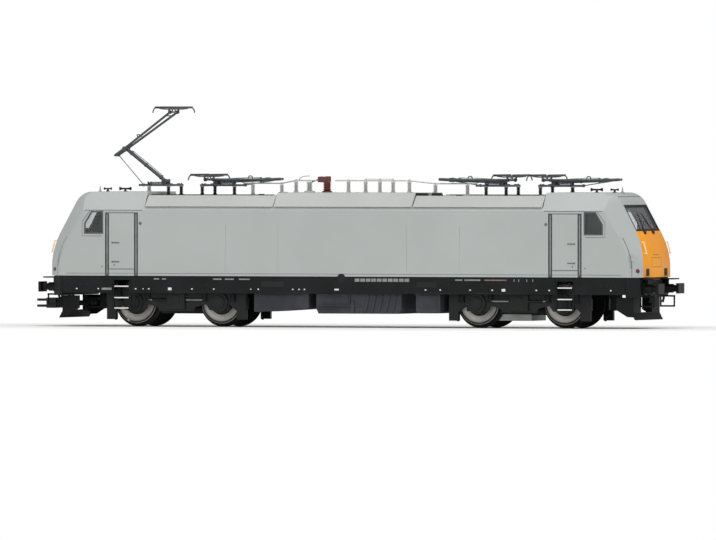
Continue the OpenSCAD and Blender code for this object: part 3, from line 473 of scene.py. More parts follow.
def sortShellFaces(bm):
    for face in bm.faces:
        centre = face.calc_center_median()
        inside = Vector((max(-80, min(80, centre.x)), 0, 30))  # the nearest point inside the shell
        # Faces in the door and handrail grooves take the grey of painted shade; faces turned inwards take
        # the lining
        sunk = 0.03 < halfWidth - abs(centre.y) < 0.62  # floors of the door and handrail grooves
        if sunk and soleTop + 0.05 < centre.z < shell["eaveSeam"] - 0.4:
            face.material_index = seamShade
        elif face.normal.dot(centre - inside) < -0.3:
            face.material_index = lined


def spanFrom(face, side, *depths):  # two places along X, at depths behind an end's face
    return sorted(face - side * depth for depth in depths)


def hitEnd(node, y, z):  # point on a node's surface at the +X end
    return hitOn(node, (130, y, z), (-1, 0, 0))


def shellSeams():
    bm = bmesh.new()
    wide, wall, air = shell["seam"] / 2, halfWidth - shell["seamDepth"], halfWidth + 1
    eave, hem = shell["eaveSeam"], soleTop + shell["hem"]
    start, stop = shell["eaveReach"]
    addBlock(bm, (start, wall, eave - wide), (stop, air, eave + wide))
    windows, rim = boxOf("side_windows"), shell["windowRim"]
    low, high = windows[0].z - rim, windows[1].z
    front, back = windows[1].x + rim, windows[1].x - 6.1
    ring = [(back, low), (front, low), (front, high - 3.5), (front - 2.7, high + 0.05)]
    addTube(bm, [(x, halfWidth + 0.02, z) for x, z in ring], 0.1)
    addTube(bm, [hitEnd("body_shell", shell["cheekSeam"], z) for z in shell["cheekHeights"]], 0.12)
    addCopies(bm, "mirrorX")
    reach = shell["hemReach"]
    addBlock(bm, (-reach, wall + 0.02, hem - 0.07), (reach, air, hem + 0.07))
    # The eave seam, window ring, cheek line and hem are cut in, and their faces take the grey of painted
    # shade
    colourNew(bm, (), seamShade)
    for x in shell["panelLines"]:  # upright panel joints are only shallow steps in the lacquer
        for line in (x, -x):
            addBlock(bm, (line - 0.06, wall + 0.06, hem + 0.6), (line + 0.06, air, shell["panelTop"]))
    addCopies(bm, "mirrorY")
    before = set(bm.faces)
    visor, half = shell["visorSeam"], shell["visorHalf"]
    brow = hitEnd("body_shell", 0, visor).x
    for side in (-1, 1):
        x0, x1 = spanFrom(side * brow, side, 0.12, -2)
        addBlock(bm, (x0, -half, visor - 0.09), (x1, half, visor + 0.09))
    # The visor seam's groove also takes the grey of painted shade
    colourNew(bm, before, seamShade)
    return bm


def makeShell():
    materials = [shellLacquer, cabLining, grooveShadeAndFittingGrey]
    bm = nodeMesh("body_shell")
    sortShellFaces(bm)
    softenEdges(bm, shell["edge"])
    bmesh.ops.recalc_face_normals(bm, faces=bm.faces)
    bm = cutOut(bm, shellSeams(), materials)
    finishPiece(bm, "bodyShellFinished", materials, stands=["body_shell"])

    bm = bmesh.new()  # door handles, lock plate and the round socket beside each door
    wall, key, (start, stop) = halfWidth, shell["keyholeX"], shell["handle"]
    for z in shell["handleHeights"]:
        addBlock(bm, (start, wall - 0.06, z - 0.2), (stop, wall + 0.09, z + 0.22), 0.05)
        addBlock(bm, (key, wall - 0.06, z - 0.3), (key + 0.5, wall + 0.04, z + 0.3), 0.03)
    addBlock(bm, (key - 0.6, wall - 0.05, 18.9), (key - 0.2, wall + 0.04, 19.5), 0.03)
    for (x, z), profile, steps in (
            (shell["socket"], [(0.52, -0.05), (0.52, 0.06), (0.36, 0.09), (0.3, 0.02)], 20),
            (shell["lockPin"], [(0.22, -0.05), (0.22, 0.06), (0, 0.08)], 12)):
        addLathe(bm, profile, (x, wall, z), outY, steps)
    addCopies(bm, "mirrorX", "mirrorY")
    finishPiece(bm, "doorFittings", [grooveShadeAndFittingGrey])


makeShell()
giveFinish(railEnamel, "door_handrails")
giveFinish(grabEnamel, "nose_grab_rails")
print("body shell made")


# Nose panels: the yellow front with its hatch, a step handle and two lamp clusters

nose = {"edge": 0.08, "hatchHalf": 4.8, "hatch": (19.1, 22.1), "slot": 23.1, "slotHalf": 2.6,
        "stepHalf": 1.6, "socketY": 1.7, "socketZ": 17.6, "lensGap": 0.2, "lensSize": (2.7, 0.98),
        "lampRim": 0.6, "pipY": 0.65}


def makeNose(side):  # the -X end is the +X end turned half round
    end = "b" if side > 0 else "a"
    bm = nodeMesh("nose_panel_b")
    softenEdges(bm, nose["edge"])
    # The hatch outline and the slot are dark grey lines of painted shade, where the real seams and slot are
    # open gaps
    before = set(bm.faces)  # hatch outline and slot, as dark lines set into the lacquer
    (low, high), half = nose["hatch"], nose["hatchHalf"]
    middle = (low + high) / 2
    corners = ((-half, low), (half, low), (half, middle), (half, high), (-half, high), (-half, middle),
               (-half, low))
    rim = [hitEnd("nose_panel_b", y, z) - Vector((0.06, 0, 0)) for y, z in corners]
    for start, stop in zip(rim, rim[1:]):
        addRod(bm, start, stop, 0.1, 8)
    slot, wide, step = nose["slot"], nose["slotHalf"], nose["stepHalf"]
    x = hitEnd("nose_panel_b", 0, slot).x
    addBlock(bm, (x - 0.5, -wide, slot - 0.14), (x + 0.03, wide, slot + 0.14))
    colourNew(bm, before, 1)
    for y in both(nose["socketY"]):
        addLathe(bm, [(0.42, -0.2), (0.42, 0.04), (0.3, 0.1)],
                 hitEnd("nose_panel_b", y, nose["socketZ"]), outX, 20)
    addBlock(bm, (x - 0.3, -step, slot - 0.06), (x + 0.08, step, slot + 0.06), 0.03)
    bmesh.ops.scale(bm, vec=(side, side, 1), verts=bm.verts)
    finishPiece(bm, "nosePanelFinished" + end.upper(), [noseLacquer, grooveShadeAndFittingGrey],
                stands=["nose_panel_" + end])


def makeLamps():
    bm = bmesh.new()
    wide, tall = nose["lensSize"]
    for low, high in islandsOf("headlamps"):
        side = 1 if low.x > 0 else -1
        face = high.x if side > 0 else low.x
        middle = (low + high) / 2
        x0, x1 = spanFrom(face, side, 1.1, 0.1)
        rim = nose["lampRim"]
        addBlock(bm, (x0, low.y - rim, low.z - 0.05), (x1, high.y + rim, high.z + 0.05), 0.08)
        before = set(bm.faces)
        x0, x1 = spanFrom(face, side, 0.5, 0.06)
        for step in (-1, 1):
            y, z = middle.y, middle.z + step * (tall + nose["lensGap"]) / 2
            addBlock(bm, (x0, y - wide / 2, z - tall / 2), (x1, y + wide / 2, z + tall / 2), 0.1)
            for pip in both(nose["pipY"]):
                addLathe(bm, [(0.32, 0), (0.27, 0.06), (0.14, 0.1), (0, 0.11)],
                         (face - side * 0.14, y + pip, z), (side, 0, 0), 16)
        colourNew(bm, before, 1)
    finishPiece(bm, "headlampClusters", [gasketRubber, smokeLens], stands=["headlamps"])

    bm = nodeMesh("tail_lamps", 0.2)
    before = set(bm.faces)
    for low, high in islandsOf("tail_lamps"):
        middle = (low + high) / 2
        out = Vector((1 if middle.x > 0 else -1, 1.12 if middle.y > 0 else -1.12, 0)).normalized()
        addLathe(bm, [(0.5, -0.4), (0.5, 0.02), (0.58, 0.02), (0.58, -0.4)], middle + out * 0.31, out, 20,
                 ring=True)
    colourNew(bm, before, 1)
    finishPiece(bm, "tailLampLenses", [redLens, grooveShadeAndFittingGrey], stands=["tail_lamps"])


makeNose(1)
makeNose(-1)
makeLamps()
print("nose made")


# Glazing, its rubber gaskets, the wipers and the two cab interiors

glassWork = {"sideGasket": 0.45, "frontGasket": 0.6, "gasketLift": 0.14, "wiperY": 4.1, "wiperFoot": 30.2,
             "wiperBlade": 5.2, "wiperLean": 0.55}


def gasketRing(node, width, name, rubber, outward):
    bm = nodeMesh(node)
    panes = [face for face in bm.faces if outward(face)]
    kept = set(panes)
    bmesh.ops.delete(bm, geom=[face for face in bm.faces if face not in kept], context="FACES")
    for pane in panes:
        bmesh.ops.inset_region(bm, faces=[pane], thickness=width, use_even_offset=True, use_boundary=True)
    bmesh.ops.delete(bm, geom=panes, context="FACES")
    bmesh.ops.solidify(bm, geom=bm.faces[:], thickness=-glassWork["gasketLift"])
    finishPiece(bm, name, [rubber])


def makeGlass():
    giveFinish(glazing, "side_windows")
    giveFinish(screenGlazing, "windscreen_a", "windscreen_b")
    gasketRing("side_windows", glassWork["sideGasket"], "sideWindowGaskets", gasketGrey,
               lambda face: face.normal.y * face.calc_center_median().y > 14)
    for end, side in (("a", -1), ("b", 1)):
        gasketRing("windscreen_" + end, glassWork["frontGasket"], "windscreenGasket" + end.upper(),
                   gasketRubber, lambda face, side=side: face.normal.x * side > 0.7)

    bm = bmesh.new()  # wipers: spindle, arm and blade, resting on the glass
    half = glassWork["wiperBlade"] / 2
    for side in (-1, 1):
        y, lean = side * glassWork["wiperY"], -side * glassWork["wiperLean"]
        root = hitEnd("nose_panel_b", y, glassWork["wiperFoot"])
        arm = [hitEnd("windscreen_b", y + lean * k, 31.4 + k) + Vector((0.2, 0, 0.1)) for k in (0, 2.6)]
        addBlock(bm, root + Vector((-0.5, -1.2, -0.7)), root + Vector((0.16, 1.2, 0.6)), 0.14)
        addLathe(bm, [(0.5, -0.2), (0.5, 0.24), (0.32, 0.4)], root, (1, 0, 0.2), 16)
        addTube(bm, [root + Vector((0.25, 0, 0)), *arm], 0.11)
        blade = [hitEnd("windscreen_b", y + lean * 2.6 + lean * k * 0.4, 34 + k)
                 for k in (-half, -1.3, 0, 1.3, half)]
        addTube(bm, [point + Vector((0.09, 0, 0.04)) for point in blade], 0.1)
        addBlock(bm, arm[1] - Vector((0.14, 0.22, 0.3)), arm[1] + Vector((0.1, 0.22, 0.3)), 0.05)
    addCopies(bm, "halfTurn")
    finishPiece(bm, "wipers", [hornMoulding])


def dressCab(bm):  # blue seats, and a lining colour on the desk
    for face in bm.faces:
        middle = face.calc_center_median()
        if 84 < abs(middle.x) < 89.2 and abs(middle.y) > 3.9 and 18.2 < middle.z < 34:
            face.material_index = 1
        elif face.normal.z > 0.9 and abs(middle.x) > 90 and middle.z > 24:
            face.material_index = 2


makeGlass()
for node in ("cab_interior_a", "cab_interior_b"):
    dressNode(node, [cabMoulding, seatMoulding, cabLining], 0.12, detail=dressCab)
print("glazing made")


# Sole bars and buffer beams: black mouldings with printed marks and blank plates

sole = {"edge": 0.07, "markZ": 11.43, "plateZ": 14.7, "inkLift": 0.035,
        "dots": (-93.3, -85.7, -72.5, -67.9, -52.7, -45, -29.4, -17.3, -15.1, -13.2, 29.1, 34.2, 44.6, 52.3,
                 67.6, 72.1, 93.4),
        "bigDots": (-60.5, 56.2), "smallDots": (-69.9, -32),
        "plates": ((-66.1, -64.3), (-63.2, -61.8), (-45.3, -42.3), (-41.1, -38), (-36.2, -32.4),
                   (39.4, 41.9), (42.6, 48.2)),
        "rosePlate": (49.6, 57.3), "bars": (59.9, 61.5, 64.3, 66.4),
        "rivets": (-95, -92, -90, -79, -47.5, -24, -9, 9, 20, 26, 36.5, 48.5, 79, 90, 92, 95),
        "strips": ((-58, -48), (-24, -12), (25, 38), (46, 60)), "covers": ((-28.4, -20.4), (26.0, 33.0))}


def makeSoleBars():
    near = -halfWidth
    parts = bmesh.new()

    def printMark(x0, x1, z, down, up, slot, lift=sole["inkLift"]):
        before = set(parts.faces)
        addBlock(parts, (x0, near - lift, z - down), (x1, near + 0.1, z + up))
        colourNew(parts, before, slot)

    white, grey, rose, acetal = 1, 2, 3, 4
    z, plateZ = sole["markZ"], sole["plateZ"]
    for key, half, tall in (("dots", 0.24, 0.195), ("bigDots", 0.62, 0.42), ("smallDots", 0.16, 0.16)):
        for x in sole[key]:
            printMark(x - half, x + half, z, tall, tall, white)
    printMark(-2.7, -1.2, z, 0.25, 0.25, white)
    for x0, x1 in sole["plates"]:
        printMark(x0, x1, plateZ, 0.22, 0.22, grey)
    printMark(*sole["rosePlate"], plateZ, 0.2, 0.2, rose)
    for x in sole["bars"]:
        printMark(x - 0.13, x + 0.13, plateZ, 0.5, 0.35, grey)
    printMark(-84.5, -81, 11.4, 0.35, 0.35, grey, 0.06)
    for k in range(10):  # number plate left blank: a row of plain lighter fields
        x = 4.4 + k * 1.93
        printMark(x, x + 1.6, 14.05, 0, 1.05, grey)
    before = set(parts.faces)  # a dark cover over the middle of the sill, then rivets, strips and covers
    addLathe(parts, [(1.5, 0), (1.35, 0.08), (0.8, 0.11)], (-0.35, near, 15.2), outNear)
    for x in sole["rivets"]:
        addLathe(parts, [(0.3, -0.1), (0.3, 0.06), (0.18, 0.1)], (x, near, 12.9), outNear, 6)
    for x0, x1 in sole["strips"]:
        addBlock(parts, (x0, near - 0.05, 10.15), (x1, near + 0.1, 10.45), 0.04)
    for x0, x1 in sole["covers"]:
        addBlock(parts, (x0, near - 0.06, 12.2), (x1, near + 0.1, 14.0), 0.06)
    colourNew(parts, before, acetal)
    addCopies(parts, "halfTurn")
    finishes = [frameMoulding, whiteInk, greyInk, roseInk, bogieMoulding]
    dressNode("sole_bars", finishes, sole["edge"], parts=parts)


beam = {"edge": 0.08, "boltZ": (11.0, 13.9), "boltY": 5.2, "hoseY": (6.0, 7.1),
        "hose": ((0.3, 10.1), (0.9, 9.7), (1.1, 9.0), (0.9, 8.3), (0.7, 7.9)), "bufferY": 10.06,
        "bufferZ": 12, "bufferBolt": 1.5, "bufferPlate": 0.82}


def makeBeams():
    face = boxOf("buffer_beams")[1].x
    parts = bmesh.new()
    for z in beam["boltZ"]:
        addStud(parts, 0.28, -0.2, 0.16, (face, beam["boltY"], z), outX)
    for y in beam["hoseY"]:  # brake hoses with their cocks, clear of the swinging coupler
        addBlock(parts, (face - 0.2, y - 0.35, 9.9), (face + 0.5, y + 0.35, 10.7), 0.08)
        addTube(parts, [(face + out, y, z) for out, z in beam["hose"]], 0.22, smooth=True)
        addRod(parts, (face + 0.72, y, 8.0), (face + 0.6, y, 7.5), 0.33)
    addBlock(parts, (face - 0.2, -1.3, 10.6), (face + 0.25, 1.3, 13.6), 0.12)  # guide of the draw hook
    addBlock(parts, (face, -0.35, 11.4), (face + 1.6, 0.35, 12.4), 0.12)
    addRod(parts, (face + 1.6, 0, 11.6), (face + 1.6, 0, 12.7), 0.35)
    addCopies(parts, "mirrorY", "halfTurn")
    dressNode("buffer_beams", [frameMoulding], beam["edge"], parts=parts)

    parts = bmesh.new()  # four bolts hold each buffer
    for y in both(beam["bufferBolt"]):
        for z in both(beam["bufferBolt"]):
            addStud(parts, 0.26, -0.1, 0.22,
                    (face + beam["bufferPlate"], beam["bufferY"] + y, beam["bufferZ"] + z), outX)
    addCopies(parts, "mirrorY", "halfTurn")
    dressNode("buffers", [bufferMoulding], 0.09, parts=parts, sharp=50, flat=0.3)


makeSoleBars()
makeBeams()


# Ploughs, steps, pockets and coupler

cabSteps = {"middle": 77.5, "edgeHalf": 2.5, "edges": (5.07, 8.5, 12.25)}


def makeLowParts():
    for node in ("plough_a", "plough_b", "coupler_pockets"):
        dressNode(node, [frameMoulding], 0.07)
    dressNode("coupler_head", [bogieMoulding], 0.08, "coupler")
    giveFinish(bufferMoulding, "shunter_grips")

    parts = bmesh.new()  # white edges of the cab steps
    x, half, y = cabSteps["middle"], cabSteps["edgeHalf"], boxOf("cab_steps")[1].y
    for z in cabSteps["edges"]:
        addBlock(parts, (x - half, y - 0.08, z - 0.2), (x + half, y + 0.02, z + 0.18), 0.03)
    colourNew(parts, (), 1)
    addCopies(parts, "mirrorX", "mirrorY")
    dressNode("cab_steps", [frameMoulding, whiteInk], 0.05, parts=parts)


makeLowParts()


# Transformer tank and the two equipment boxes

tank = {"flank": -15.2, "bolts": (-8.6, -5.2, -1.8, 1.4, 5.2, 19.2), "slats": 5, "slatStep": 1.95,
        "pipe": ((-9.2, 5.2), (-3, 5.2), (1.9, 5.5), (2.1, 9.5)),
        "doors": ((-28.9, -22.6), (-21.8, -14.6), (25.9, 32.3))}


def makeTank():
    flank = tank["flank"]
    parts = bmesh.new()
    for x in tank["bolts"]:
        addStud(parts, 0.3, -0.1, 0.15, (x, flank, 9.6), outNear)
        addStud(parts, 0.24, -0.1, 0.12, (x, flank, 4.2), outNear)
    addBlock(parts, (-8.9, flank - 0.12, 6.7), (1.6, flank + 0.1, 9.0), 0.08)
    for k in range(tank["slats"]):
        along = k * tank["slatStep"]
        addBlock(parts, (-8.3 + along, flank - 0.2, 7.0), (-7.0 + along, flank, 8.7), 0.07)
    addTube(parts, [(x, flank - 0.25, z) for x, z in tank["pipe"]], 0.16)
    addCopies(parts, "mirrorY")
    dressNode("transformer_tank", [tankMoulding], 0.08, parts=parts)

    flank = -boxOf("equipment_boxes")[1].y
    parts = bmesh.new()
    for x0, x1 in tank["doors"]:
        middle = (x0 + x1) / 2
        addBlock(parts, (x0, flank - 0.1, 5.4), (x1, flank + 0.1, 9.6), 0.1)
        for x in (x0 + 1.1, x1 - 1.1):
            addBlock(parts, (x - 0.35, flank - 0.22, 9.2), (x + 0.35, flank, 9.75), 0.06)
        addBlock(parts, (middle - 0.4, flank - 0.24, 5.8), (middle + 0.4, flank, 6.2), 0.06)
    addCopies(parts, "mirrorY")
    dressNode("equipment_boxes", [tankMoulding], 0.1, parts=parts)


makeTank()
giveFinish(zincCasting, "chassis_block")
print("underframe made")


# Bogies: frames with spring coils, axle-box covers, brake blocks and pipes

bogie = {"halfBase": 14.95, "sideOut": 12.2, "sideTop": 11.6, "axleZ": 7, "springStep": 5, "springR": 0.98,
         "wire": 0.15, "turns": 5, "screwRing": 2.75, "brakeStep": 8.75, "pipe": 0.18}


def aroundRing(count, radius, offset=0.0):  # evenly spaced places on a ring
    angles = [2 * pi * (k + offset) / count for k in range(count)]
    return [(radius * cos(angle), radius * sin(angle)) for angle in angles]


def makeBogie(end, centre):
    def zincKeeper(bm):
        for face in bm.faces:
            middle = face.calc_center_median()
            if end == "b" and middle.z < 3.15 and abs(middle.y) < 8 and -10 < middle.x - centre < 3:
                face.material_index = 1

    finishes, body = [bogieMoulding, zincCasting], "bogie_" + end
    dressNode("bogie_frame_" + end, finishes, 0.07, body, detail=zincKeeper)
    out, top, axle = bogie["sideOut"], bogie["sideTop"], bogie["axleZ"]
    bm = bmesh.new()
    for dx in both(bogie["halfBase"]):
        for x in (dx - bogie["springStep"], dx + bogie["springStep"]):
            addHelix(bm, (x, out - 0.1, axle + 1.0), (x, out - 0.1, top - 0.4), bogie["springR"],
                     bogie["turns"], bogie["wire"])
            addLathe(bm, [(1.15, 0), (1.15, 0.3), (0.9, 0.42)], (x, out - 0.1, axle + 0.35),
                     steps=20)
            addStud(bm, 1.1, 0, 0.25, (x, out - 0.1, top - 0.42), steps=20)
        for x, z in aroundRing(6, bogie["screwRing"], 0.5):  # cover screws of the axle box
            addLathe(bm, [(0.3, -0.1), (0.3, 0.16), (0.16, 0.22)],
                     (dx + x, out + 0.6, axle + z), outY, 6)
        addLathe(bm, [(1.7, 0), (1.7, 0.12), (1.1, 0.22), (0.5, 0.26)],
                 (dx, out + 0.98, axle), outY)
        for side in (-1, 1):  # brake block and its hanger, in line with the wheel
            x = dx + side * bogie["brakeStep"]
            addBlock(bm, (x - 0.35, 8.1, axle - 2.2), (x + 0.35, 9.6, axle + 1.6), 0.12)
            addRod(bm, (x, 9.0, axle + 1.2), (x - side * 0.2, 9.0, top - 1.2), 0.28)
    low, high = top - 0.8, top - 0.7
    addTube(bm, [(-24, out + 0.15, low), (-6, out + 0.15, low), (0, out + 0.85, high), (6, out + 0.15, low),
                 (24, out + 0.15, low)], bogie["pipe"])
    for x in both(2.2):
        for z in (axle - 0.9, axle + 2.8):
            addStud(bm, 0.32, -0.1, 0.18, (x, out + 0.8, z), outY)
    addBlock(bm, (-1.3, out + 0.7, axle - 0.3), (1.3, out + 1.0, axle + 2.2), 0.1)
    before = set(bm.faces)
    for side in (1, -1):  # piston rods of the dampers
        addRod(bm, (side * 3.6, out + 0.3, axle + 0.8), (side * 9.6, out + 0.3, axle + 0.8), 0.36)
    colourNew(bm, before, 1)
    addCopies(bm, "mirrorY")
    bmesh.ops.translate(bm, vec=(centre, 0, 0), verts=bm.verts)
    finishPiece(bm, "bogieFittings" + end.upper(), finishes, body)


makeBogie("a", -60)
makeBogie("b", 60)


# Wheelsets: bright turned rims, a dark centre with its cap, and treads in black that paints the shade they
# lie in

wheel = {"rimInner": 4.15, "outer": 9.95, "face": 8.8, "hub": 2.4, "boltRing": 2.35}


def makeWheelset(n):
    node = f"wheelset_{n}"
    centre = pivotOf(f"axle_{n}_spin")
    rim = turnedSteel(f"turnedSteelAxle{n}", "eae7e3", "c2beb9", 0.5, 0.6, centre)
    bm = nodeMesh(node, 0.3)
    for face in bm.faces:
        middle = face.calc_center_median() - centre
        radius = (middle.x ** 2 + middle.z ** 2) ** 0.5
        # Only outward faces past the hub get bright steel; the tread, flange and inner faces get the black
        # moulding, a painted shade on the tread
        outer = face.normal.y * middle.y > 0 and abs(face.normal.y) > 0.5 and abs(middle.y) > wheel["face"]
        face.material_index = 1 if outer and radius > wheel["hub"] else 0
    softenEdges(bm, 0.05, 55)
    disc = bmesh.new()
    out, inner = wheel["outer"], wheel["rimInner"]
    addLathe(disc, [(0, 0), (inner, 0.05), (inner, 0.16), (inner - 0.15, 0.22), (3.1, 0.16), (2.9, 0.34),
                    (1.7, 0.4), (1.5, 0.6), (0.6, 0.64), (0, 0.6)], (0, out - 0.62, 0), outY, 40)
    for x, z in aroundRing(8, wheel["boltRing"]):
        addLathe(disc, [(0.2, 0), (0.2, 0.2), (0, 0.22)], (x, out - 0.28, z), outY, 6)
    addCopies(disc, "mirrorY")
    bmesh.ops.translate(disc, vec=centre, verts=disc.verts)
    joinShapes(bm, disc)
    finishPiece(bm, f"wheelsetFinished{n}", [bogieMoulding, rim], f"wheels_{n}", [node])


for n in (1, 2, 3, 4):
    makeWheelset(n)
print("bogies made")


# Roof hatches, vents, aerials and horns

roof = {"vents": ((23.7, 28.2), (29.6, 33.2)), "ventHeight": 0.9, "slatStep": 0.55,
        "slots": ((-68.5, -40.2), (-38.6, -25.6), (38.3, 40.3)), "edgeY": 13.0,
        "aerialX": 91.5, "ribStep": 8.9, "ribY": (-12.2, -9.4), "lugY": 11.4}
# each horn's half length, mouth radius and distance behind the nose
horns = {"lift": 0.95, "places": ((2.0, 0.65, 20.8), (1.3, 0.5, 14.6))}


def makeRoof():
    for node in ("roof_hatch_a", "roof_hatch_middle", "roof_hatch_b"):
        dressNode(node, [roofLacquer], 0.1)

    bm = bmesh.new()  # lifting lugs and low ribs on the hatches
    gap = 0.4
    near, far = roof["ribY"]
    for start, stop, z in ((-middleEnd, middleEnd, middleTop), (-hatchEnd, -middleEnd - gap, hatchTop),
                           (middleEnd + gap, hatchEnd, hatchTop)):
        for x in (start + 2.2, stop - 2.2):
            for y in both(roof["lugY"]):
                addBlock(bm, (x - 0.6, y - 0.2, z - 0.1), (x + 0.6, y + 0.2, z + 0.3), 0.09)
        count = int((stop - start) / roof["ribStep"])
        for k in range(1, count):
            x = start + (stop - start) * k / count
            for y0, y1 in ((near, far), (-far, -near)):
                addBlock(bm, (x - 0.12, y0, z - 0.05), (x + 0.12, y1, z + 0.07), 0.03)
    finishPiece(bm, "roofHatchDetails", [roofLacquer])

    bm = bmesh.new()  # black grilles and marks along both edges of the roof
    y, z, tall = -roof["edgeY"], hatchTop, roof["ventHeight"]
    for x0, x1 in roof["vents"]:
        addBlock(bm, (x0, y, z - 0.1), (x1, y + 1.7, z + tall * 0.45), 0.08)
        for k in range(int((x1 - x0) / roof["slatStep"])):
            x = x0 + 0.35 + k * roof["slatStep"]
            addBlock(bm, (x - 0.12, y + 0.1, z + tall * 0.4), (x + 0.12, y + 1.6, z + tall), 0.04)
    for x0, x1 in roof["slots"]:
        addBlock(bm, (x0, y, z - 0.1), (x1, y + 0.6, z + 0.3), 0.07)
    addCopies(bm, "halfTurn")
    finishPiece(bm, "roofGrilles", [hornMoulding])

    bm = bmesh.new()  # low whip aerial on each cab roof
    foot = hitOn("body_shell", (roof["aerialX"], 0, 60), (0, 0, -1))
    addLathe(bm, [(0.7, -0.1), (0.7, 0.12), (0.35, 0.4), (0.22, 0.9), (0.13, 1.9), (0.08, 2.0)],
             foot, steps=16)
    addCopies(bm, "halfTurn")
    finishPiece(bm, "roofAerials", [railEnamel])

    bm = bmesh.new()  # horns: two flared trumpets with hollow mouths, back to back on a foot
    z = roofTop + horns["lift"]
    for half, radius, back in horns["places"]:
        x = noseX - back
        profile = [(radius * 0.42, 0.1), (radius * 0.46, half * 0.5), (radius * 0.66, half * 0.8),
                   (radius, half - 0.03), (radius * 0.96, half), (radius * 0.82, half - 0.04),
                   (radius * 0.45, half * 0.72), (0, half * 0.68)]
        for side in (-1, 1):
            addLathe(bm, profile, (x, 0, z), (side, 0, 0), 20)
        addBlock(bm, (x - 0.32, -0.3, z - 0.9), (x + 0.32, 0.3, z + 0.12), 0.08)
        addBlock(bm, (x - 0.55, -0.4, z - 0.95), (x + 0.55, 0.4, z - 0.72), 0.06)
    addCopies(bm, "halfTurn")
    finishPiece(bm, "hornTrumpets", [hornMoulding], stands=["horns"])


makeRoof()


# Insulators, busbars and the main circuit breaker

shed = {"lip": 0.14, "foot": 0.36, "cap": 0.34, "pitch": 0.5, "narrow": 1.1, "core": 0.62}


def shedProfile(height, core, wide, count):
    foot, lip = shed["foot"], shed["lip"] * 0.5
    profile = [(wide, 0), (wide, 0.28), (core + 0.08, foot)]
    room = height - foot - shed["cap"]
    for k in range(count):
        z = foot + room * (k + 0.5) / count
        profile += [(core, z - lip - 0.07), (wide - 0.06, z - lip * 0.6), (wide, z),
                    (wide - 0.1, z + lip * 0.5), (core, z + lip + 0.05)]
    cap = wide * 0.86
    return profile + [(core, height - shed["cap"]), (cap, height - 0.3), (cap, height), (0, height)]


def makeInsulators():
    for node, name, slot, finish in (("roof_insulators", "roofPosts", "insulator_grey", [greyResin]),
                                     ("pantograph_insulators", "pantographPosts", "insulator_black",
                                      [blackResin, greyResin])):
        bm = bmesh.new()
        for low, high in islandsOf(node):
            size, middle = high - low, (low + high) / 2
            foot, wide = (middle.x, middle.y, low.z), min(size.x, size.y) / 2
            before = set(bm.faces)
            flared = wide > 1.5
            narrow = shed["narrow"]
            addLathe(bm, shedProfile(size.z, min(wide, narrow) * shed["core"], narrow if flared else wide,
                                     max(3, int(size.z / shed["pitch"]))), foot, steps=20)
            if flared:
                addLathe(bm, [(wide, 0), (wide, 0.4), (wide - 0.3, 0.5)], foot)
            if node.startswith("pantograph") and middle.x < -72 and abs(middle.y) < 1:
                colourNew(bm, before, 1)
        finishPiece(bm, name, finish, stands=[node])


busbar = {"posts": (-22.4, -4, 2, 7, 11.6, 17.3), "top": 0.36, "linkX": -21.2, "bridge": (2, 7, 11.6)}


def makeBusbars():
    giveFinish(nickelWire, "roof_busbars")
    wireZ = boxOf("roof_busbars")[1].z - busbar["top"]
    bm = bmesh.new()
    for x in busbar["posts"]:
        addBlock(bm, (x - 0.42, -0.42, wireZ - 0.34), (x + 0.42, 0.42, wireZ + 0.08), 0.08)
        addBlock(bm, (x - 0.3, -0.34, wireZ - 0.02), (x + 0.3, 0.34, wireZ + 0.34), 0.08)
        for y in both(0.22):
            addStud(bm, 0.13, 0, 0.16, (x, y, wireZ + 0.3))
    x, bridge = busbar["linkX"], busbar["bridge"]  # bent link from the arrester to the breaker
    addTube(bm, [(x + along, 0, wireZ + up) for along, up in ((0, 0.6), (1, 1.25), (2.3, 1.5), (3.6, 1.5))],
            0.14, smooth=True)
    addRod(bm, (x, 0, wireZ), (x, 0, wireZ + 0.7), 0.2)
    addRod(bm, (bridge[0], 0, wireZ + 0.5), (bridge[-1], 0, wireZ + 0.5), 0.11)
    for x in bridge:
        addRod(bm, (x, 0, wireZ + 0.3), (x, 0, wireZ + 0.72), 0.16)
    finishPiece(bm, "busbarClamps", [nickelWire])


breaker = {"postX": -11.5, "ribs": 4, "ribStep": 0.6, "tankX": (-14.5, -11.0), "bands": (-13.9, -12.9)}


def makeBreaker():
    bm = bmesh.new()  # built on the ground, and lifted to its foot at the end
    profile = [(1.7, 0), (1.7, 0.4), (1.25, 0.5)]
    for k in range(breaker["ribs"]):
        z = 0.8 + k * breaker["ribStep"]
        profile += [(1.05, z - 0.08), (1.36, z + 0.02), (1.4, z + 0.12), (1.3, z + 0.22), (1.05, z + 0.32)]
    profile += [(1.05, 3.1), (1.3, 3.15), (1.3, 3.4)]
    addLathe(bm, profile, (breaker["postX"], 0, 0), steps=28)
    start, stop = breaker["tankX"]
    addBlock(bm, (start, -1.1, 3.3), (stop, 1.1, 5.2), 0.25)
    addLathe(bm, [(1.02, 0), (1.02, 1.6), (0.85, 1.85), (0, 1.9)], (-11.2, 0, 3.45))
    for x in breaker["bands"]:
        addBlock(bm, (x - 0.12, -1.18, 3.5), (x + 0.12, 1.18, 5.0), 0.05)
    before = set(bm.faces)
    for y in both(0.7):
        addStud(bm, 0.16, 0, 0.14, (-13.4, y, 5.15))
    addRod(bm, (-14.2, 0, 4.4), (-18.2, 0, 2.9), 0.2)
    addBlock(bm, (-14.6, -0.3, 4.1), (-13.9, 0.3, 4.7), 0.08)
    colourNew(bm, before, 1)
    bmesh.ops.translate(bm, vec=(0, 0, boxOf("main_breaker")[0].z), verts=bm.verts)
    finishPiece(bm, "mainBreaker", [brownResin, slateEnamel], stands=["main_breaker"])


makeInsulators()
makeBusbars()
makeBreaker()
print("roof gear made")


# Pantographs: etched and painted frames with springs, bolts, carbon strips and curved horns

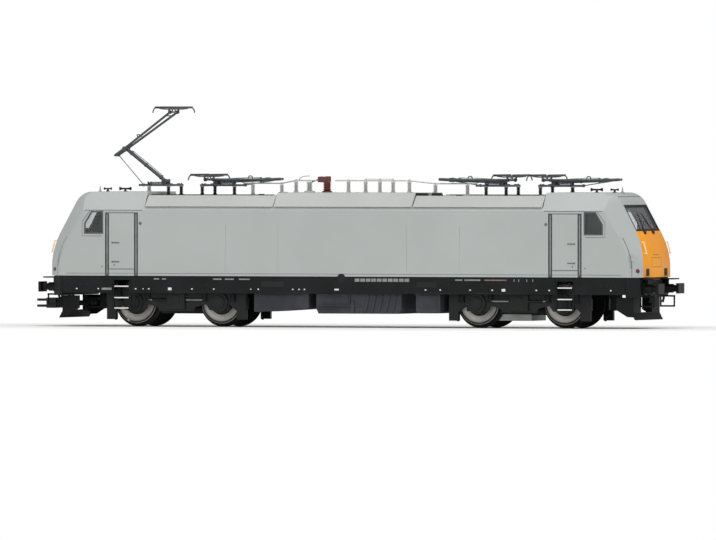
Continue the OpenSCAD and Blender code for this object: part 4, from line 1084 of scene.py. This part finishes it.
panto = {"baseZ": 45.2, "springY": 1.15, "spring": (1.3, 5.2), "springRod": (1.1, 5.9), "coils": 10.5,
         "ways": (-1, 1, -1, 1), "collars": (0.12, 0.5, 0.86), "lead": (0.1, 0.3, 0.5, 0.7, 0.88),
         "bow": ((-2.1, 0), (-1.95, 0.9), (-1.1, 1.2), (1.1, 1.2), (1.95, 0.9), (2.1, 0)),
         "hornTip": ((-0.5, 0.45), (0.5, 0.55), (1.3, 0.95), (1.9, 1.5), (2.2, 2.05)),  # out and down
         "stripApart": 6.7, "stripHalf": 8.5, "stripTop": 1.9, "cradleY": 4.4}


def makeBaseFittings(n, foot, way):  # lifting springs, bolts and the cushions under the folded head
    bm = bmesh.new()
    baseZ = panto["baseZ"]

    def at(u, y, z):  # u runs from the foot towards the knee, z from the base up
        return Vector((foot.x + way * u, y, baseZ + z))

    def addPad(start, stop, y0, y1, top):
        a, b = at(start, y0, 0.6), at(stop, y1, top)
        addBlock(bm, [min(pair) for pair in zip(a, b)], [max(pair) for pair in zip(a, b)], 0.05)

    (start, stop), (rodStart, rodStop) = panto["spring"], panto["springRod"]
    for y in both(panto["springY"]):
        addHelix(bm, at(start, y, 1.1), at(stop, y, 1.1), 0.3, panto["coils"], 0.075, 1)
        addRod(bm, at(rodStart, y, 1.1), at(rodStop, y, 1.1), 0.09, 8)
    before = set(bm.faces)
    addPad(5.5, 5.9, -1.6, 1.6, 0.95)
    for y in both(1.22):  # the folded arm lies between the two spring ends
        addPad(5.5, 5.9, y - 0.4, y + 0.4, 1.5)
    for u, y in ((-3.2, 6), (-3.2, -6), (5.9, 0)):
        addLathe(bm, [(0.42, 0), (0.42, 0.12), (0.24, 0.12), (0.24, 0.36)], at(u, y, 0.66),
                 steps=6)
    for side in (-1, 1):
        addLathe(bm, [(0.5, 0), (0.5, 0.12), (0.34, 0.2)], at(0, side * 2.45, 1.6),
                 (0, side, 0), 6)
        addPad(-3.6, -2.8, side * 3.4 - 0.4, side * 3.4 + 0.4, 0.95)
    colourNew(bm, before, 1)
    finishPiece(bm, f"pantographSprings{n}", [springWire, slateEnamel])


def makeArmFittings(n, foot, knee, head, way):
    bm = bmesh.new()  # collars and a lead on the lower arm
    along = (knee - foot).normalized()
    for share in panto["collars"]:
        addLathe(bm, [(0.55, -0.22), (0.74, -0.22), (0.74, 0.22), (0.55, 0.22)], foot.lerp(knee, share),
                 along, 16, ring=True)
    up = along.cross(Vector(outY))
    up = up if up.z > 0 else -up
    addTube(bm, [foot.lerp(knee, k) + up * (0.72 + 0.16 * sin(pi * k)) + Vector((0, 0.2, 0))
                 for k in panto["lead"]], 0.1, smooth=True)
    finishPiece(bm, f"lowerArmCollars{n}", [slateEnamel], f"arm_low_{n}")

    bm = bmesh.new()  # braces and hub caps of the upper arm; one brace is bowed over the folded lower arm
    over = (head - knee).normalized().cross(Vector(outY)) * -way
    spot = knee.lerp(head, 0.3)
    addTube(bm, [spot + Vector((0, y, 0)) + over * rise for y, rise in panto["bow"]], 0.18, smooth=True)
    spot, reach = knee.lerp(head, 0.9), Vector((0, 3.3, 0))
    addRod(bm, spot - reach, spot + reach, 0.2, 12)
    for side in (-1, 1):
        addLathe(bm, [(0.5, -0.1), (0.5, 0.14), (0.3, 0.22)],
                 knee + Vector((0, side * 1.95, 0)), (0, side, 0), 6)
        addStud(bm, 0.42, -0.1, 0, head + Vector((0, side * 3.85, 0)), (0, side, 0))
    finishPiece(bm, f"upperArmBraces{n}", [slateEnamel], f"arm_up_{n}")


def makeCollector(n, head):  # cross shaft, sprung cradles, carriers, carbon and horns
    bm = bmesh.new()  # built at the origin, and moved to the head's pivot at the end
    half, top = panto["stripApart"] / 2, panto["stripTop"]
    reach, cradle = panto["stripHalf"], panto["cradleY"]
    addRod(bm, (0, -cradle, 0), (0, cradle, 0), 0.28)
    sag = [(-half, 1.25), (-half * 0.6, 1.0), (0, 0.98), (half * 0.6, 1.0), (half, 1.25)]
    for y in both(cradle):
        addBlock(bm, (-0.28, y - 0.24, -0.28), (0.28, y + 0.24, 1.2), 0.08)
        addTube(bm, [(x, y, z) for x, z in sag], 0.2, smooth=True)
        for x in both(half):
            addRod(bm, (x, y, 1.0), (x, y, top - 0.4), 0.16, 10)
    for x in both(half):
        addBlock(bm, (x - 0.35, -reach, top - 0.7), (x + 0.35, reach, top - 0.3), 0.07)
        for side in (-1, 1):
            tip = [(x, side * (reach + out), top - down) for out, down in panto["hornTip"]]
            addTube(bm, tip, 0.22, smooth=True)
    for y in (-reach + 1.2, reach - 1.2):
        addRod(bm, (-half, y, top - 0.5), (half, y, top - 0.5), 0.12, 8)
    before = set(bm.faces)
    for x in both(half):
        addBlock(bm, (x - 0.3, 0.25 - reach, top - 0.32), (x + 0.3, reach - 0.25, top), 0.08)
    colourNew(bm, before, 1)
    bmesh.ops.translate(bm, vec=head, verts=bm.verts)
    finishPiece(bm, f"collectorHead{n}", [slateEnamel, stripCarbon], f"head_{n}",
                [f"pan_head_{n}"])


for n, way in enumerate(panto["ways"], 1):
    foot, knee, head = (pivotOf(f"pantograph_{n}_{joint}") for joint in ("raise", "knee", "head_level"))
    giveFinish(slateEnamel, *(f"{part}_{n}" for part in ("pantograph_base", "lower_arm", "upper_arm")))
    giveFinish(springWire, f"control_rod_{n}")
    makeBaseFittings(n, foot, way)
    makeArmFittings(n, foot, knee, head, way)
    makeCollector(n, head)
print("pantographs made")


# Camera, lamps, floor and background

stage = {"distance": 6000, "lens": 916, "azimuth": 20, "elevation": 0.6, "aim": (-0.7, 0, 17.7),
         "floorReach": 6000, "floorShade": "f4f4f3", "shadowReach": (210, 95, 100), "skyStrength": 0.43}
pureWhite = toLinear("ffffff")


def makeCamera():
    az, el = radians(stage["azimuth"]), radians(stage["elevation"])
    back = Vector((sin(az) * cos(el), -cos(az) * cos(el), sin(el)))
    camera = bpy.data.objects.new("camera", bpy.data.cameras.new("camera"))
    bpy.context.scene.collection.objects.link(camera)
    camera.data.lens = stage["lens"]
    camera.data.clip_end = 50
    camera.location = (Vector(stage["aim"]) + back * stage["distance"]) * mm
    camera.rotation_euler = back.to_track_quat("Z", "Y").to_euler()
    bpy.context.scene.camera = camera


makeCamera()
bpy.context.scene.view_settings.view_transform = "Standard"


def addLamp(name, place, size, power, aim=(0, 0, 20)):
    lamp = bpy.data.objects.new(name, bpy.data.lights.new(name, "AREA"))
    bpy.context.scene.collection.objects.link(lamp)
    lamp.data.shape = "RECTANGLE"
    lamp.data.size, lamp.data.size_y = size[0] * mm, size[1] * mm
    lamp.data.energy = power
    lamp.location = Vector(place) * mm
    toAim = Vector(aim) - Vector(place)
    lamp.rotation_euler = toAim.to_track_quat("-Z", "Y").to_euler()


addLamp("topSoftbox", (100, -300, 1300), (1500, 1100), 11.8)
addLamp("frontSoftbox", (-300, -1500, 500), (1300, 900), 4.8)
addLamp("endSoftbox", (1300, -500, 500), (900, 800), 2.8)


def anyRay(tree, *kinds):  # 1 for any of these kinds of ray
    path = addNode(tree, "LightPath")
    seen = path.outputs[kinds[0]]
    for kind in kinds[1:]:
        seen = addNode(tree, "Math", {0: seen, 1: path.outputs[kind]}, operation="MAXIMUM").outputs["Value"]
    return seen


def makeWorld():
    world = bpy.data.worlds.new("studio")
    bpy.context.scene.world = world
    world.use_nodes = True
    tree = world.node_tree
    tree.nodes.clear()
    seen = anyRay(tree, "Is Camera Ray", "Is Transmission Ray")
    soft = addNode(tree, "Background", {"Color": pureWhite, "Strength": stage["skyStrength"]})
    white = addNode(tree, "Background", {"Color": pureWhite, "Strength": 1.0})
    both = addNode(tree, "MixShader", {0: seen, 1: soft.outputs["Background"],
                                       2: white.outputs["Background"]})
    addNode(tree, "OutputWorld", {"Surface": both.outputs["Shader"]})


makeWorld()


def makeFloor():
    # Matt white paper, laid flat. Away from the object the camera, metal and glass see it as pure white.
    paper, tree, shader, place = startMaterial("mattWhitePaper", {"Roughness": 0.9})
    fibre = addNode(tree, "TexNoise", {"Vector": place, "Scale": perMetre(1), "Detail": 3.0})
    bump = addNode(tree, "Bump", {"Height": fibre.outputs["Fac"], "Distance": 0.01 * mm, "Strength": 0.3})
    shader.inputs["Base Color"].default_value = toLinear(stage["floorShade"])
    tree.links.new(bump.outputs["Normal"], shader.inputs["Normal"])
    reach = addNode(tree, "Mapping", {
        "Vector": place, "Scale": [perMetre(size) for size in stage["shadowReach"]]})
    away = addNode(tree, "VectorMath", {0: reach.outputs["Vector"]}, operation="LENGTH")
    fade = addNode(tree, "MapRange", {"Value": away.outputs["Value"], "From Min": 0.6, "From Max": 1.0},
                   interpolation_type="SMOOTHSTEP")
    seen = anyRay(tree, "Is Camera Ray", "Is Glossy Ray", "Is Transmission Ray")
    fade = addNode(tree, "Math", {0: fade.outputs["Result"], 1: seen}, operation="MULTIPLY")
    white = addNode(tree, "Emission", {"Color": pureWhite, "Strength": 1.0})
    both = addNode(tree, "MixShader", {0: fade.outputs["Value"], 1: shader.outputs["BSDF"],
                                       2: white.outputs["Emission"]})
    tree.links.new(both.outputs["Shader"], tree.nodes["Material Output"].inputs["Surface"])
    bm = bmesh.new()
    verts = bmesh.ops.create_grid(bm, x_segments=2, y_segments=2, size=stage["floorReach"] * mm)["verts"]
    bmesh.ops.translate(bm, vec=(0, 0, boxOf("wheelset_1")[0].z * mm), verts=verts)
    mesh = bpy.data.meshes.new("floor")
    bm.to_mesh(mesh)
    bm.free()
    mesh.materials.append(paper)
    floor = bpy.data.objects.new("floor", mesh)
    bpy.context.scene.collection.objects.link(floor)


makeFloor()
print("stage set")
